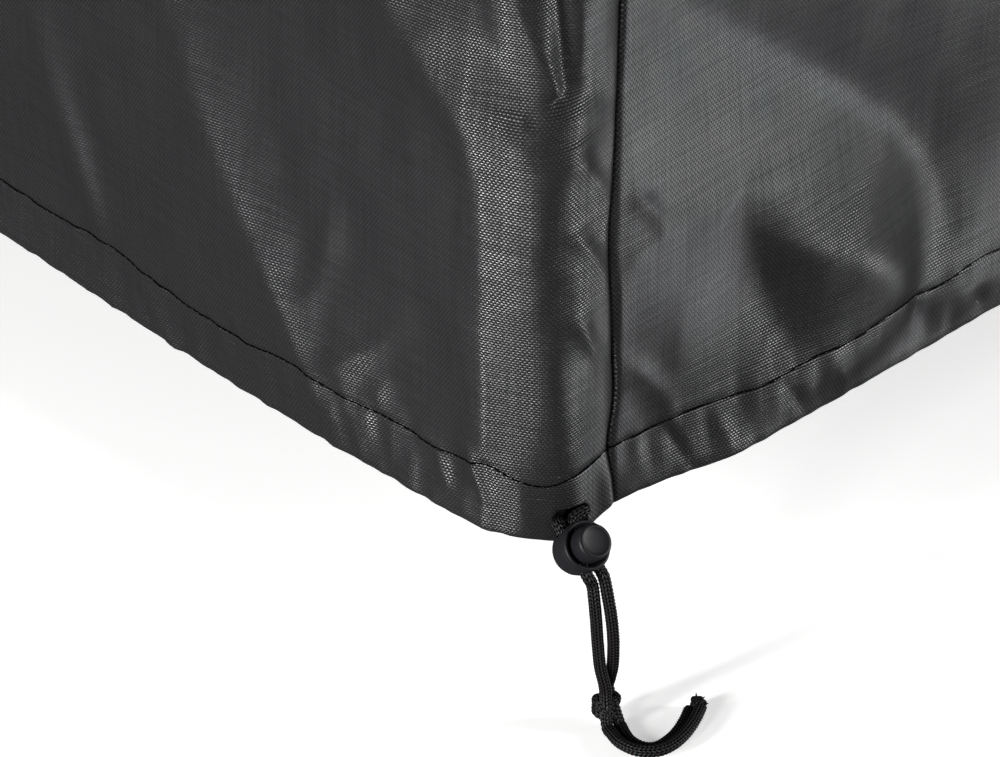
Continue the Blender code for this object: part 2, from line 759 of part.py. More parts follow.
def cord_tube(name, route, step, material):
    """A plain tube of the cord's size along a route."""
    points = smooth_route(route, step)
    curve = bpy.data.curves.new(name, "CURVE")
    curve.dimensions = "3D"
    curve.bevel_depth = CORD
    curve.bevel_resolution = 2
    curve.use_fill_caps = True
    spline = curve.splines.new("POLY")
    spline.points.add(len(points) - 1)
    for spot, point in zip(spline.points, points):
        spot.co = (*point, 1.0)
    curve.materials.append(material)
    obj = bpy.data.objects.new(name, curve)
    bpy.context.scene.collection.objects.link(obj)
    return obj


def strand_route(side, inside, below):
    """From the channel out through the eyelet and the lock and down to the knot. side is -1 for the front cord."""
    route = []
    for walk, height, depth in inside:
        route.append(Vector(place(PAIR_WALK + walk / 1000, height / 1000, depth / 1000).reshape(3)))
    middle = LOCK_CENTRE + LOCK_ACROSS * (side * LOCK_PITCH / 2)
    for distance in (-0.0086, -0.0030, 0.0030, 0.0090):
        route.append(middle + LOCK_THROUGH * distance)
    return route + [corner_point(*row) for row in below]


def tail_route(side):
    """One cord of the pair on the ground. side is 1 for the outer one, which leans on the other."""
    middles = [Vector((x, y, 0.0)) for x, y, lean in TAIL]
    route = []
    for k, (x, y, lean) in enumerate(TAIL):
        ahead = middles[min(k + 1, len(TAIL) - 1)] - middles[max(k - 1, 0)]
        away = Vector((ahead.y, -ahead.x, 0.0)).normalized()
        reach = PAIR_PITCH * 500
        height = CORD * 1000 - GROUND * 1000 + reach * math.sin(math.radians(lean)) * (1 + side)
        spot = middles[k] + away * (side * reach * math.cos(math.radians(lean)))
        route.append(corner_point(spot.x, spot.y, height))
    return route


# ---------------------------------------------------------------- the model
for obj in list(bpy.data.objects):
    bpy.data.objects.remove(obj)

WALLS = {
    "front_panel": (CORNERS[3] - SEAM_WALK, PERIMETER + SEAM_WALK),
    "right_panel": (SEAM_WALK, CORNERS[1] - SEAM_WALK),
    "back_panel": (CORNERS[1] - SEAM_WALK, CORNERS[2] + SEAM_WALK),
    "left_panel": (CORNERS[2] + SEAM_WALK, CORNERS[3] - SEAM_WALK),
}

cloth = finish("woven polyester", (0.052, 0.052, 0.054), 0.55)
cord = finish("braided cord", (0.012, 0.012, 0.012), 0.8)
plastic = finish("moulded plastic", (0.014, 0.014, 0.016), 0.4)

panels = {name: panel(name, start, end, cloth) for name, (start, end) in WALLS.items()}
top_panel(cloth)

mouth = Vector(place(EYELET_WALK, EYELET_HEIGHT).reshape(3))
outwards = Vector((*outline(EYELET_WALK, EYELET_HEIGHT)[1].reshape(2), 0.0))
upwards = Vector((0.0, 0.0, 1.0))
eyelet = slot(
    "eyelet_cutter", mouth, outwards.cross(upwards), upwards, EYELET_LONG, EYELET_TALL, 2 * FOLD, EYELET_TALL * 0.36
)
cut(panels["front_panel"], eyelet)

hem_cord(cord)
cord_tube("strand_front", strand_route(-1, INSIDE_FRONT, STRAND_FRONT), 0.0030, cord)
cord_tube("strand_rear", strand_route(1, INSIDE_REAR, STRAND_REAR), 0.0030, cord)
lobed("cord_knot", KNOT_CENTRE, KNOT_SIZE, KNOT_LOBES, cord, rows=9, segments=16)
cord_tube("tail_front", tail_route(1), 0.0062, cord)
cord_tube("tail_rear", tail_route(-1), 0.0062, cord)
lobed("cord_tip", TIP_CENTRE, TIP_SIZE, TIP_LOBES, cord, rows=6, segments=10)

barrel = turned("cord_lock_barrel", BARREL_PROFILE, 32, plastic)
cross_hole = slot(
    "cross_hole_cutter", LOCK_CENTRE, LOCK_ACROSS, LOCK_AXIS, HOLE_WIDE, HOLE_TALL, LOCK_CUT, HOLE_TALL / 2 - 0.0001
)
cut(barrel, cross_hole)
plunger = turned("cord_lock_plunger", PLUNGER_PROFILE, 28, plastic)
stem_slot = slot(
    "stem_slot_cutter",
    LOCK_CENTRE + LOCK_AXIS * (PRESS / 2),
    LOCK_ACROSS,
    LOCK_AXIS,
    HOLE_WIDE,
    HOLE_TALL + PRESS,
    LOCK_CUT,
    0.0008,
)
cut(plunger, stem_slot)
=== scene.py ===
"""Fitted furniture cover: woven polyester walls and top, a corded hem, two braided cord ends and a
push-button lock.

Metres, +Z up. The origin is the centre of the underside of the top. Heights h are counted up from the
hem's line. Walks u run round the hem, anticlockwise seen from above, from the point of the corner where
the cords come out.
"""

import math

import bmesh
import bpy
import numpy as np
from mathutils import Matrix, Vector


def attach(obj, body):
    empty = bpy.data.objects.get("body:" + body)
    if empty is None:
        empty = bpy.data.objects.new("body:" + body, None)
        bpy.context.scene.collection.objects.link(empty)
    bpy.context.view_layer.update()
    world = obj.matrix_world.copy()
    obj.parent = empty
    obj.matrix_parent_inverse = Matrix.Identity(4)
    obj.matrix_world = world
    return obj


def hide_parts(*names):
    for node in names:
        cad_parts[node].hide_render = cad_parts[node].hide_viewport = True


bl_info = {
    "name": "Fitted furniture cover",
    "version": (1, 0, 0),
    "blender": (4, 5, 0),
    "location": "View3D > Sidebar > Cover",
    "description": "Sheets, stitches, cords and lock of a fitted furniture cover",
    "category": "Object",
}

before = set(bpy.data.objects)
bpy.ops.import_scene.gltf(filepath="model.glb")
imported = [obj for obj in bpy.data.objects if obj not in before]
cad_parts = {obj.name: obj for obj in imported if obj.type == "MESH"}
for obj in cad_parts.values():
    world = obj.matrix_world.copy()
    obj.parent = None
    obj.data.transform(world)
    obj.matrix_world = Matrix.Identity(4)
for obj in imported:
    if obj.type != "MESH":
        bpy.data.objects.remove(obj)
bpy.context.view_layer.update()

# ---------------------------------------------------------------- driving dimensions
HALF_LENGTH = 0.450
HALF_WIDTH = 0.300
DROP = 0.385  # underside of the top down to the hem
GROUND = 0.068  # hem down to the floor
CLOTH = 0.0007  # thickness of the cloth
GAP = 0.0003  # between neighbouring panels
HEM_CORNER = 0.028  # radius of the corners at the hem
TOP_CORNER = 0.016  # radius of the corners at the top edge
SEAM_WALK = 0.033  # from a corner's point to its seam
SKIRT = 0.0030  # depth of the top panel's turned-down edge
FOLD = 0.0039  # outer radius of the hem's fold round the cord

CORD = 0.0020  # radius of the drawcord
EYELET_WALK = 0.0168  # middle of the buttonhole that the cords come out of
EYELET_HEIGHT = 0.0086
EYELET_LONG = 0.0144
EYELET_TALL = 0.0098
PAIR_WALK = 0.0162  # middle of the two cords where they leave the channel
PAIR_PITCH = 0.0044  # from one cord's middle to the other's on the floor
STITCH_LENGTH = 0.0031
STITCH_SUNK = 0.00039  # how deep the ends of a stitch lie
STITCH_RISE = 0.00042  # how much higher its middle is
PUCKER_DEPTH = 0.00035  # how far the hem's stitches draw the cloth in
PUCKER_REACH = 0.0011  # height over which they do
TOP_RIPPLE = 0.0010  # unevenness of the top

LOCK_CENTRE = Vector((0.4581, -0.2825, -0.3855))  # middle of the cross hole
LOCK_AXIS = Vector((0.7375, -0.0473, 0.6737)).normalized()  # out through the button
LOCK_ACROSS = LOCK_AXIS.cross(Vector((0.6752, 0.0455, -0.7363))).normalized()
LOCK_THROUGH = LOCK_ACROSS.cross(LOCK_AXIS)  # the way the cords run
LOCK_HOLE_AT = 0.0075  # from the barrel's foot to the middle of the cross hole
LOCK_PITCH = 0.0052  # from one cord's middle to the other's inside the lock
LOCK_STATIONS = (-0.0086, -0.0030, 0.0030, 0.0090)  # along the cords, from the middle of the cross hole
LOCK_CUT = 0.024  # length of the tool that cuts the cross hole
PRESS = 0.0025  # travel of the button
HOLE_WIDE = 0.0098  # the cross hole that both cords run through
HOLE_TALL = 0.0048
HOLE_ROUNDING = 0.0023  # its ends are all but half round
SLOT_ROUNDING = 0.0008  # corners of the button's slot
LATHE_STEPS = 96  # round the lock's turned parts

BRAID_PLAITS = 12  # round the cord
BRAID_AROUND = 64  # points round it
BRAID_STEP = 0.00027  # from one ring of points to the next
BRAID_LEAN = 0.75  # how far a plait leans along the cord, as a share of the pitch
BRAID_VALLEY = 0.78  # radius between the plaits, as a share of the cord's
BRAID_RISE = 0.24  # how much higher a plait is
BRAID_SWELL = 1.02  # radius of the free cords, as a share of the drawcord's
FILAMENT_SLANT = 0.6  # how far the filaments turn round the cord in their own length

# The camera, as the photo's corner shows it: to the right, up, and towards it.
CAMERA_RIGHT = Vector((0.67983, 0.73337, 0.0))
CAMERA_UP = Vector((-0.40093, 0.37165, 0.83734))
CAMERA_BACK = Vector((0.61408, -0.56924, 0.54669))
CAMERA_AT = Vector((1.4758, -1.2599, 0.5990))
CAMERA_LENS = 198.5

# Where one effect gives way to another, from and to. They are heights above the hem's line unless a comment
# says otherwise.
SWAY_ENDS = (0.018, 0.085)  # the gathered hem's standing in and out
EDGE_TO_STITCH = (0.0, 0.020)  # from the hem's edge to its stitch line
SAG_ENDS = (0.004, 0.055)  # the hem's hanging below its line
FOLDS_BEGIN = (0.004, 0.034)  # the walls' folds and crinkles
HEM_KEEPS = 0.15  # share of a fold's rise that is left at the hem's edge
GATHERS_END = (0.020, 0.036)  # the crinkles that the hem's cord gathers
FOLDS_STOP = (0.012, 0.05)  # below the top
WAVES_STOP = (0.02, 0.16)  # below the top
RIGHT_WALL = (0.02, 0.05)  # walks from the corner to the tighter cloth beside it
RIGHT_WALL_CALM = 0.55  # share of its crinkles' size that the cloth loses there
RIGHT_HEM = (0.03, 0.06)  # walks from the corner to the tighter hem beside it
RIGHT_HEM_CALM = 0.4  # share of its gathers' size that the hem loses there
LOCK_REACH = 0.016  # the lock holds the hem flat this far to each side
CALM_EASE = 0.06  # walk over which the sway table's stretch ends

# Spacing of the walls' mesh.
ROW_STEP = 0.0017  # front and right wall, by the hem
ROW_STEP_BEHIND = 0.0040
ROWS_CLOSE = 0.19  # how far up the rows stay that close
ROWS_CLOSE_BEHIND = 0.02
STITCH_BAND = (0.0205, 0.0285)  # heights with rows close enough for the stitches' pucker
STITCH_ROW_STEP = 0.0008
COLUMN_STEP = 0.0012  # by the cords' corner
COLUMN_STEP_BEHIND = 0.0060
FOLD_POINTS = 8  # round the hem's fold
RIM_STEP = 0.0075  # along the edge of the top
TOP_RINGS = 46  # of points, from there to the middle of the top

# ---------------------------------------------------------------- tables of the draped shape, millimetres
# How far the walls stand out from the hem's rounded rectangle.
WALL_COLUMNS = ("height", "out")
WALL = (
    (0, 0.0),
    (20, 0.6),
    (60, 1.6),
    (150, 2.0),
    (260, 0.5),
    (375, -3.0),
)

# How far each seam wanders along the walk.
SEAM_WANDER_COLUMNS = ("height", "shift")
SEAM_WANDER = (
    (0, 3.8),
    (12, 3.1),
    (25, 1.3),
    (42, 3.2),
    (58, 1.6),
    (72, 0.2),
    (90, -1.2),
    (110, -1.0),
    (125, 1.0),
    (150, 3.8),
    (175, 5.8),
    (205, 6.0),
    (290, 2.5),
    (375, 0.0),
)

# How the gathered hem stands in and out near the cord's corner: at its lower edge and at its stitch line.
SWAY_COLUMNS = ("walk", "edge", "stitch")
SWAY = (
    (-330, 0.0, 0.0),
    (-252, -1.7, -3.6),
    (-199, -0.4, -2.0),
    (-158, 0.2, 0.6),
    (-128, 0.6, 1.8),
    (-100, 0.5, 2.8),
    (-82, 0.6, 3.8),
    (-62, -0.3, 0.2),
    (-45, -0.5, -1.8),
    (-22, -1.2, -2.6),
    (-8, -1.0, -1.6),
    (10, 0.0, 0.0),
    (36, -1.8, -2.6),
    (50, -0.8, -3.2),
    (68, 1.6, -0.8),
    (86, 3.6, 1.8),
    (104, 3.0, 5.0),
    (131, 1.8, 4.8),
    (155, 1.0, 2.6),
    (171, 0.6, -0.8),
    (190, 0.0, 2.4),
    (213, -0.4, 1.6),
    (300, 0.0, 0.0),
)

# How far the hem hangs below its line there.
SAG_COLUMNS = ("walk", "sag")
SAG = (
    (-330, 2.2),
    (-34, 2.4),
    (-14, 2.1),
    (4, 3.1),
    (14, 5.1),
    (24, 5.3),
    (34, 2.6),
    (58, 1.6),
    (75, 2.5),
    (300, 2.2),
)

# Height of the hem's stitch line.
STITCH_COLUMNS = ("walk", "height")
STITCH = (
    (-330, 23.0),
    (-255, 22.5),
    (-228, 22.0),
    (-198, 24.5),
    (-175, 23.5),
    (-140, 22.8),
    (-120, 24.0),
    (-94, 27.6),
    (-76, 25.2),
    (-53, 24.0),
    (-40, 22.5),
    (-26, 23.2),
    (-11, 25.8),
    (-3, 23.2),
    (6, 21.6),
    (14, 23.6),
    (34, 23.8),
    (45, 22.6),
    (70, 23.3),
    (98, 22.3),
    (124, 24.4),
    (135, 24.0),
    (149, 25.5),
    (167, 26.0),
    (178, 24.2),
    (196, 26.5),
    (220, 25.0),
    (300, 23.0),
)

# Ridges and troughs, each by its crest line. The columns are walk, height, rise, reach to the left or below,
# reach to the right or above, and how far from the line the crest is rounded off.
FOLDS = (
    (  # the long slanting fold
        (-178, 175, 0.0, 110, 26, 3.0),
        (-160, 142, 2.4, 110, 29, 2.5),
        (-148, 124, 4.0, 110, 31, 2.0),
        (-141, 109, 5.2, 105, 31, 1.5),
        (-131, 91, 6.0, 100, 31, 1.2),
        (-120, 74, 6.2, 95, 30, 1.0),
        (-112, 63, 5.6, 90, 28, 0.8),
        (-102, 49, 4.4, 85, 23, 0.7),
        (-94, 34, 2.8, 75, 15, 0.7),
        (-87, 24, 1.5, 60, 10, 0.8),
        (-80, 12, 0.0, 45, 8, 1.0),
    ),
    (  # the swelling beside its foot
        (-76, 98, 0.0, 16, 12, 2.5),
        (-82, 80, 1.0, 14, 12, 2.0),
        (-86, 62, 1.3, 10, 12, 1.5),
        (-95, 44, 0.0, 8, 10, 1.5),
    ),
    (  # the small curved fold below it
        (-52, 62, 0.0, 7, 9, 1.0),
        (-59, 50, 1.0, 8, 10, 0.8),
        (-68, 42, 1.5, 8, 10, 0.8),
        (-78, 35, 1.3, 8, 9, 0.8),
        (-88, 28, 0.0, 6, 7, 1.0),
    ),
    (
        (-56, 40, 0.0, 8, 7, 1.0),
        (-60, 31, 0.9, 9, 8, 1.0),
        (-63, 22, 0.0, 8, 8, 1.0),
    ),
    (  # the faint fold further along
        (-228, 116, 0.0, 22, 14, 2.5),
        (-219, 86, 2.0, 34, 15, 1.8),
        (-212, 69, 2.8, 34, 14, 1.2),
        (-207, 54, 2.8, 30, 13, 1.0),
        (-201, 36, 1.6, 22, 10, 1.0),
        (-197, 20, 0.0, 12, 8, 1.0),
    ),
    (  # where the wall's upper part begins to turn towards the corner
        (-72, 250, 0.0, 70, 34, 5.0),
        (-60, 205, 4.2, 70, 40, 4.0),
        (-50, 178, 5.4, 64, 38, 3.0),
        (-40, 168, 5.0, 54, 34, 2.5),
        (-29, 156, 3.2, 40, 27, 2.5),
        (-19, 144, 1.8, 24, 20, 2.5),
        (-15, 128, 1.0, 14, 11, 2.0),
        (-14, 110, 0.8, 10, 10, 1.5),
        (-14, 100, 0.9, 10, 10, 0.7),
        (-13.5, 78, 0.9, 10, 10, 0.6),
        (-13, 49, 0.9, 10, 10, 0.6),
        (-13, 35, 0.9, 10, 10, 0.8),
        (-16, 26, 0.6, 9, 10, 1.0),
        (-18, 12, 0.0, 8, 10, 1.0),
    ),
    (  # the hollow that runs down beside the pleats
        (-24, 230, 0.0, 40, 22, 6.0),
        (-20, 192, -1.8, 36, 20, 6.0),
        (-14, 176, -1.6, 32, 18, 5.0),
        (-6, 165, -1.0, 24, 14, 4.0),
        (2, 158, 0.0, 16, 8, 3.0),
    ),
    (  # a dimple left of it
        (-21, 118, 0.0, 5, 5, 1.0),
        (-20, 108, 0.7, 5, 6, 0.8),
        (-20, 98, 0.0, 5, 5, 1.0),
    ),
    (  # the edge where the wall turns the corner
        (7, 158, 1.8, 14, 15, 1.2),
        (8, 152, 4.2, 19, 24, 2.4),
        (3.5, 144, 5.0, 22, 28, 8.0),
        (7.5, 137, 5.4, 24, 27, 6.5),
        (6, 130, 5.6, 24, 28, 3.6),
        (5.8, 124, 5.6, 24, 28, 2.2),
        (5.5, 114, 5.6, 24, 28, 1.4),
        (4.5, 106, 5.5, 24, 28, 3.2),
        (7, 100, 5.5, 24, 26, 3.0),
        (5.5, 90, 5.4, 24, 26, 1.8),
        (8.5, 80, 5.0, 24, 25, 2.6),
        (8, 68, 4.6, 24, 24, 1.6),
        (9.5, 45, 3.4, 22, 18, 2.4),
        (10.5, 33, 2.2, 20, 15, 3.0),
        (10, 22, 0.4, 16, 14, 3.0),
        (9, 12, -1.6, 14, 14, 3.0),
        (9, 0, -1.6, 14, 14, 3.0),
    ),
    (  # the edge that runs down into the pinch
        (-8, 218, 0.8, 20, 14, 1.2),
        (-1, 192, 1.9, 18, 12, 0.8),
        (4.5, 177, 2.3, 16, 9, 0.6),
        (10, 164, 1.9, 12, 6, 0.5),
        (12.3, 160, 0.0, 10, 4, 0.5),
    ),
    (  # the trough beside it
        (12, 232, 0.0, 11, 10, 4.0),
        (13.2, 210, -2.4, 11, 9, 4.0),
        (13.8, 192, -3.3, 10, 8, 3.6),
        (14.4, 176, -3.0, 8.5, 7, 3.0),
        (13.8, 165, -1.6, 6, 6, 2.0),
        (13, 160, 0.0, 3, 4, 1.0),
    ),
    (  # the pinch's curved crease
        (6.5, 155, 0.0, 3, 3, 0.4),
        (8.7, 156.7, -0.7, 3, 3, 0.3),
        (11, 158.7, -1.2, 3.5, 4, 0.3),
        (14, 159.8, -1.2, 4, 4, 0.3),
        (17.7, 161.4, -0.7, 4, 4, 0.4),
        (21, 163, 0.0, 4, 4, 0.5),
    ),
    (  # the swelling below it
        (10, 152, 0.0, 14, 8, 3.0),
        (17, 149, 1.1, 22, 10, 4.0),
        (26, 149, 1.0, 22, 10, 4.0),
        (34, 151, 0.0, 18, 8, 3.0),
    ),
    (  # small folds across the strip beside the seam
        (12, 141, 0.0, 6, 6, 0.8),
        (19, 135, 0.9, 7, 6, 0.8),
        (27, 124, 0.8, 7, 6, 0.8),
        (30, 112, 0.0, 6, 6, 0.8),
    ),
    (
        (10, 114, 0.0, 6, 6, 0.8),
        (17, 109, 0.9, 6, 6, 0.8),
        (25, 98, 0.8, 6, 6, 0.8),
        (29, 86, 0.0, 6, 6, 0.8),
    ),
    (
        (12, 85, 0.0, 6, 6, 0.8),
        (18, 77, 0.8, 6, 6, 0.8),
        (25, 64, 0.7, 6, 6, 0.8),
        (28, 50, 0.0, 5, 5, 0.8),
    ),
    (  # the cloth dips into the seam
        (37, 240, -0.3, 4, 2, 0.4),
        (38.5, 190, -1.0, 9, 2, 0.4),
        (38.5, 170, -0.8, 8, 2, 0.4),
        (37, 150, -0.3, 3, 2, 0.4),
        (34, 120, -0.4, 3, 2, 0.4),
        (32.5, 98, -0.6, 4, 2, 0.4),
        (34, 80, -1.0, 7, 2, 0.4),
        (34.6, 58, -1.1, 7, 2, 0.4),
        (36, 42, -1.1, 8, 2, 0.4),
        (34.5, 24, -0.7, 7, 2, 0.4),
        (36, 8, 0.0, 6, 2, 0.4),
    ),
    (  # a thin crease from the seam over the right wall
        (36, 89, 0.0, 8, 6, 0.8),
        (42, 91, 0.6, 9, 7, 0.7),
        (52, 94, 0.8, 10, 8, 0.7),
        (69, 96, 0.8, 12, 10, 1.0),
        (91, 95, 0.5, 14, 12, 1.5),
        (128, 89, 0.0, 16, 14, 3.0),
    ),
    (  # small folds by the seam
        (41, 117, 0.0, 6, 6, 0.8),
        (44, 111, 0.7, 7, 6, 1.0),
        (50, 105, 0.8, 7, 6, 1.0),
        (54, 98, 0.6, 6, 6, 1.0),
        (54, 92, 0.0, 5, 5, 0.8),
    ),
    (
        (35, 55, 0.0, 8, 6, 0.8),
        (46, 47, 0.7, 12, 8, 1.0),
        (58, 32, 0.6, 12, 9, 1.2),
        (62, 16, 0.0, 10, 8, 1.0),
    ),
    (  # the long slant across the right wall
        (40, 200, 0.0, 60, 70, 10.0),
        (65, 171, -6.0, 90, 80, 7.0),
        (94, 146, -7.5, 105, 90, 6.0),
        (117, 129, -8.0, 110, 90, 6.0),
        (140, 109, -8.0, 110, 90, 5.0),
        (162, 89, -7.5, 105, 84, 4.0),
        (177, 66, -5.5, 90, 70, 4.0),
        (188, 34, -2.2, 70, 50, 4.0),
        (192, 12, 0.0, 50, 40, 6.0),
    ),
    (  # the hollow above its hem
        (86, 88, 0.0, 16, 40, 3.0),
        (105, 73, 3.6, 26, 60, 5.0),
        (138, 53, 6.2, 36, 60, 5.0),
        (157, 40, 5.8, 36, 50, 4.0),
        (170, 26, 4.0, 34, 40, 4.0),
        (179, 12, 1.5, 26, 30, 3.0),
    ),
    (  # the valley on that hollow's left
        (86, 92, 0.0, 34, 12, 3.0),
        (95, 72, -2.4, 52, 20, 5.0),
        (101, 52, -4.0, 60, 26, 6.0),
        (108, 32, -3.8, 60, 26, 6.0),
        (114, 10, -1.6, 50, 24, 5.0),
    ),
    (  # folds of the other walls
        (238, 330, 0.0, 90, 40, 5.0),
        (262, 265, 7.0, 120, 40, 5.0),
        (310, 120, 7.0, 150, 40, 4.0),
        (335, 40, 0.0, 90, 40, 4.0),
    ),
    (
        (515, 160, 0.0, 20, 40, 3.0),
        (535, 95, 5.0, 20, 40, 2.0),
        (555, 45, 4.0, 20, 36, 2.0),
        (566, 15, 0.0, 20, 30, 2.0),
    ),
    (
        (575, 340, 0.0, 16, 18, 4.0),
        (575, 240, 3.5, 16, 18, 4.0),
        (575, 110, 3.5, 16, 18, 3.0),
        (575, 20, 0.0, 16, 18, 3.0),
    ),
    (
        (750, 375, 0.0, 40, 60, 6.0),
        (785, 250, 5.0, 40, 60, 5.0),
        (830, 110, 5.5, 40, 60, 4.0),
        (865, 20, 0.0, 40, 60, 4.0),
    ),
    (
        (1135, 300, 0.0, 60, 34, 6.0),
        (1105, 200, 4.5, 60, 34, 5.0),
        (1075, 90, 4.5, 56, 34, 3.0),
        (1055, 20, 0.0, 50, 30, 3.0),
    ),
    (
        (1380, 370, 0.0, 26, 44, 5.0),
        (1400, 260, 5.0, 26, 44, 4.0),
        (1425, 110, 5.5, 26, 44, 3.0),
        (1445, 20, 0.0, 26, 40, 3.0),
    ),
    (
        (1478, 260, 0.0, 15, 15, 4.0),
        (1478, 170, 3.5, 15, 15, 4.0),
        (1478, 70, 3.5, 15, 15, 3.0),
        (1478, 10, 0.0, 15, 15, 3.0),
    ),
    (
        (1710, 375, 0.0, 50, 36, 6.0),
        (1685, 240, 4.5, 50, 36, 5.0),
        (1655, 90, 4.5, 50, 36, 3.0),
        (1635, 10, 0.0, 50, 36, 3.0),
    ),
    (
        (1982, 350, 0.0, 24, 36, 5.0),
        (1990, 240, 4.5, 24, 36, 4.0),
        (2003, 90, 4.5, 24, 36, 3.0),
        (2014, 15, 0.0, 24, 36, 3.0),
    ),
    (
        (2038, 280, 0.0, 14, 14, 3.0),
        (2038, 180, -3.0, 14, 14, 3.0),
        (2038, 80, -3.0, 14, 14, 3.0),
        (2038, 15, 0.0, 14, 14, 3.0),
    ),
    (
        (2230, 375, 0.0, 50, 60, 7.0),
        (2265, 250, 5.0, 50, 60, 6.0),
        (2305, 110, 5.5, 50, 60, 4.0),
        (2338, 20, 0.0, 50, 60, 4.0),
    ),
    (
        (2566, 375, 0.0, 60, 40, 7.0),
        (2548, 240, 4.0, 60, 40, 6.0),
        (2530, 110, 4.0, 60, 40, 4.0),
        (2516, 25, 0.0, 60, 40, 4.0),
    ),
)
# Short folds across the gathered hem.
HEM_FOLDS = (
    ((-222, 26, 0.0, 6, 6, 0.8), (-209, 18, 0.6, 6, 6, 0.8), (-198, 9, 0.0, 6, 6, 0.8)),
    (
        (-180, 29, 0.0, 6, 6, 0.6),
        (-177, 22, 1.0, 7, 7, 0.5),
        (-170, 11, 1.3, 7, 7, 0.5),
        (-162, 0, 0.6, 6, 6, 0.6),
    ),
    ((-132, 22, 0.0, 7, 5, 0.6), (-127, 14, 0.8, 7, 6, 0.5), (-118, 4, 0.0, 7, 6, 0.6)),
    (
        (-40, 27, 0.0, 6, 5, 0.6),
        (-35, 20, 0.8, 6, 5, 0.6),
        (-28, 11, 0.9, 6, 6, 0.6),
        (-20, 4, 0.0, 5, 5, 0.6),
    ),
    (
        (-24, 36, 0.0, 5, 4, 0.6),
        (-19, 26, 0.8, 5, 5, 0.6),
        (-14, 15, 0.9, 5, 5, 0.6),
        (-10, 5, 0.0, 5, 5, 0.6),
    ),
    ((57, 24, 0.0, 5, 5, 0.6), (62, 14, -1.0, 6, 5, 0.6), (68, 2, -0.8, 6, 5, 0.6)),
    ((76, 20, 0.0, 6, 6, 0.8), (82, 10, 0.7, 6, 6, 0.8), (86, 0, 0.0, 6, 6, 0.8)),
    ((104, 24, 0.0, 6, 6, 0.8), (112, 12, -0.9, 7, 6, 0.6), (118, 1, 0.0, 6, 6, 0.6)),
    ((126, 24, 0.0, 6, 6, 0.8), (133, 12, 0.9, 6, 7, 0.6), (138, 0, 0.0, 6, 6, 0.6)),
    ((160, 26, 0.0, 6, 6, 0.8), (168, 14, 0.8, 7, 6, 0.6), (176, 2, 0.0, 6, 6, 0.6)),
    ((192, 26, 0.0, 6, 6, 0.8), (199, 12, -1.0, 6, 6, 0.6), (205, 1, 0.0, 6, 6, 0.6)),
)
# Crinkles. The columns are waves in a metre of walk, waves in a metre of height, size and start.
CRINKLES = (
    (23, -7, 0.16, 0.4),
    (37, 11, 0.10, 2.6),
    (52, -16, 0.06, 4.4),
    (71, 9, 0.035, 1.1),
    (18, 24, 0.10, 5.2),
)
# The same of the hem, which its cord gathers.
GATHERS = (
    (61, 14, 0.22, 0.9),
    (88, -22, 0.16, 3.1),
    (127, 30, 0.09, 5.0),
)

# Long waves that the slack cloth makes away from that corner. The columns are waves in one walk round, size
# and start.
WAVES = ((9, 2.4, 0.6), (17, 1.8, 2.1), (31, 1.0, 4.0))
CALM = (-0.330, 0.300)  # the stretch that the sway table covers, in metres

# The cloth's edge at a seam. The columns are distance from the seam and how far in the cloth has rolled.
SEAM_ROLL = (
    (0.0, 5.0),
    (0.0, 3.0),
    (0.05, 1.7),
    (0.2, 1.0),
    (0.5, 0.5),
    (0.9, 0.22),
    (1.5, 0.07),
    (2.4, 0.0),
)
HEM_SEAM_ROLL = 1.4  # how far it rolls in the hem, clear of the cord
SEAM_OPENS = (0.026, 0.034)  # heights between which it comes to roll all the way, in metres
# The wall's upper edge, turned in behind the top panel. The columns are depth and distance below the seam.
TURNED_IN = (
    (5.0, 0.0),
    (2.8, 0.05),
    (1.4, 0.3),
)
TOP_ROLL = 0.8  # how far the wall's face rolls in at that edge
TOP_ROLL_REACH = 3.5
# The cloth turned up inside the hem. The columns are depth and height.
LAYER = (
    (7.8, 3.9),
    (6.9, 6.6),
    (6.2, 9.0),
    (4.8, 12.0),
    (3.4, 16.0),
    (3.0, 19.0),
    (2.7, 23.0),
    (2.6, 25.5),
)
# The top panel's turned-down edge, from the inside out. The columns are how far in from the wall it lies, and
# height above its lowest line.
TOP_SKIRT = (
    (5.2, 0.0),
    (3.0, 0.0),
    (1.2, 0.1),
    (0.4, 0.4),
    (0.1, 0.9),
)
# Its rounding up to the flat. The columns are how far in from the wall it lies, and z.
TOP_ROUNDING = (
    (0.4, -1.0),
    (1.3, -0.2),
    (2.6, 0.4),
    (4.6, 0.9),
    (7.2, 1.2),
)

# Turned profiles, (radius, height above the barrel's foot), from the middle of the foot round to the axis.
BARREL_PROFILE = (
    (0.0, 0.0),
    (2.2, 0.0),
    (3.8, 0.15),
    (5.2, 0.65),
    (6.3, 1.45),
    (7.1, 2.4),
    (7.65, 3.5),
    (8.0, 4.8),
    (8.15, 6.2),
    (8.2, 7.8),
    (8.2, 9.8),
    (8.15, 10.6),
    (8.0, 10.9),
    (8.0, 11.1),
    (8.2, 11.35),
    (8.25, 11.8),
    (8.1, 12.3),
    (7.75, 12.6),
    (7.35, 12.6),
    (7.05, 12.35),
    (6.75, 11.8),
    (6.45, 11.2),
    (6.3, 10.6),
    (6.3, 1.6),
    (0.0, 1.6),
)
PLUNGER_PROFILE = (
    (0.0, 4.3),
    (5.6, 4.3),
    (5.9, 4.6),
    (5.9, 16.7),
    (5.85, 17.15),
    (5.65, 17.6),
    (5.3, 17.9),
    (4.9, 18.0),
    (4.6, 17.98),
    (4.4, 17.88),
    (4.1, 17.78),
    (3.4, 17.66),
    (2.3, 17.56),
    (1.2, 17.51),
    (0.0, 17.5),
)

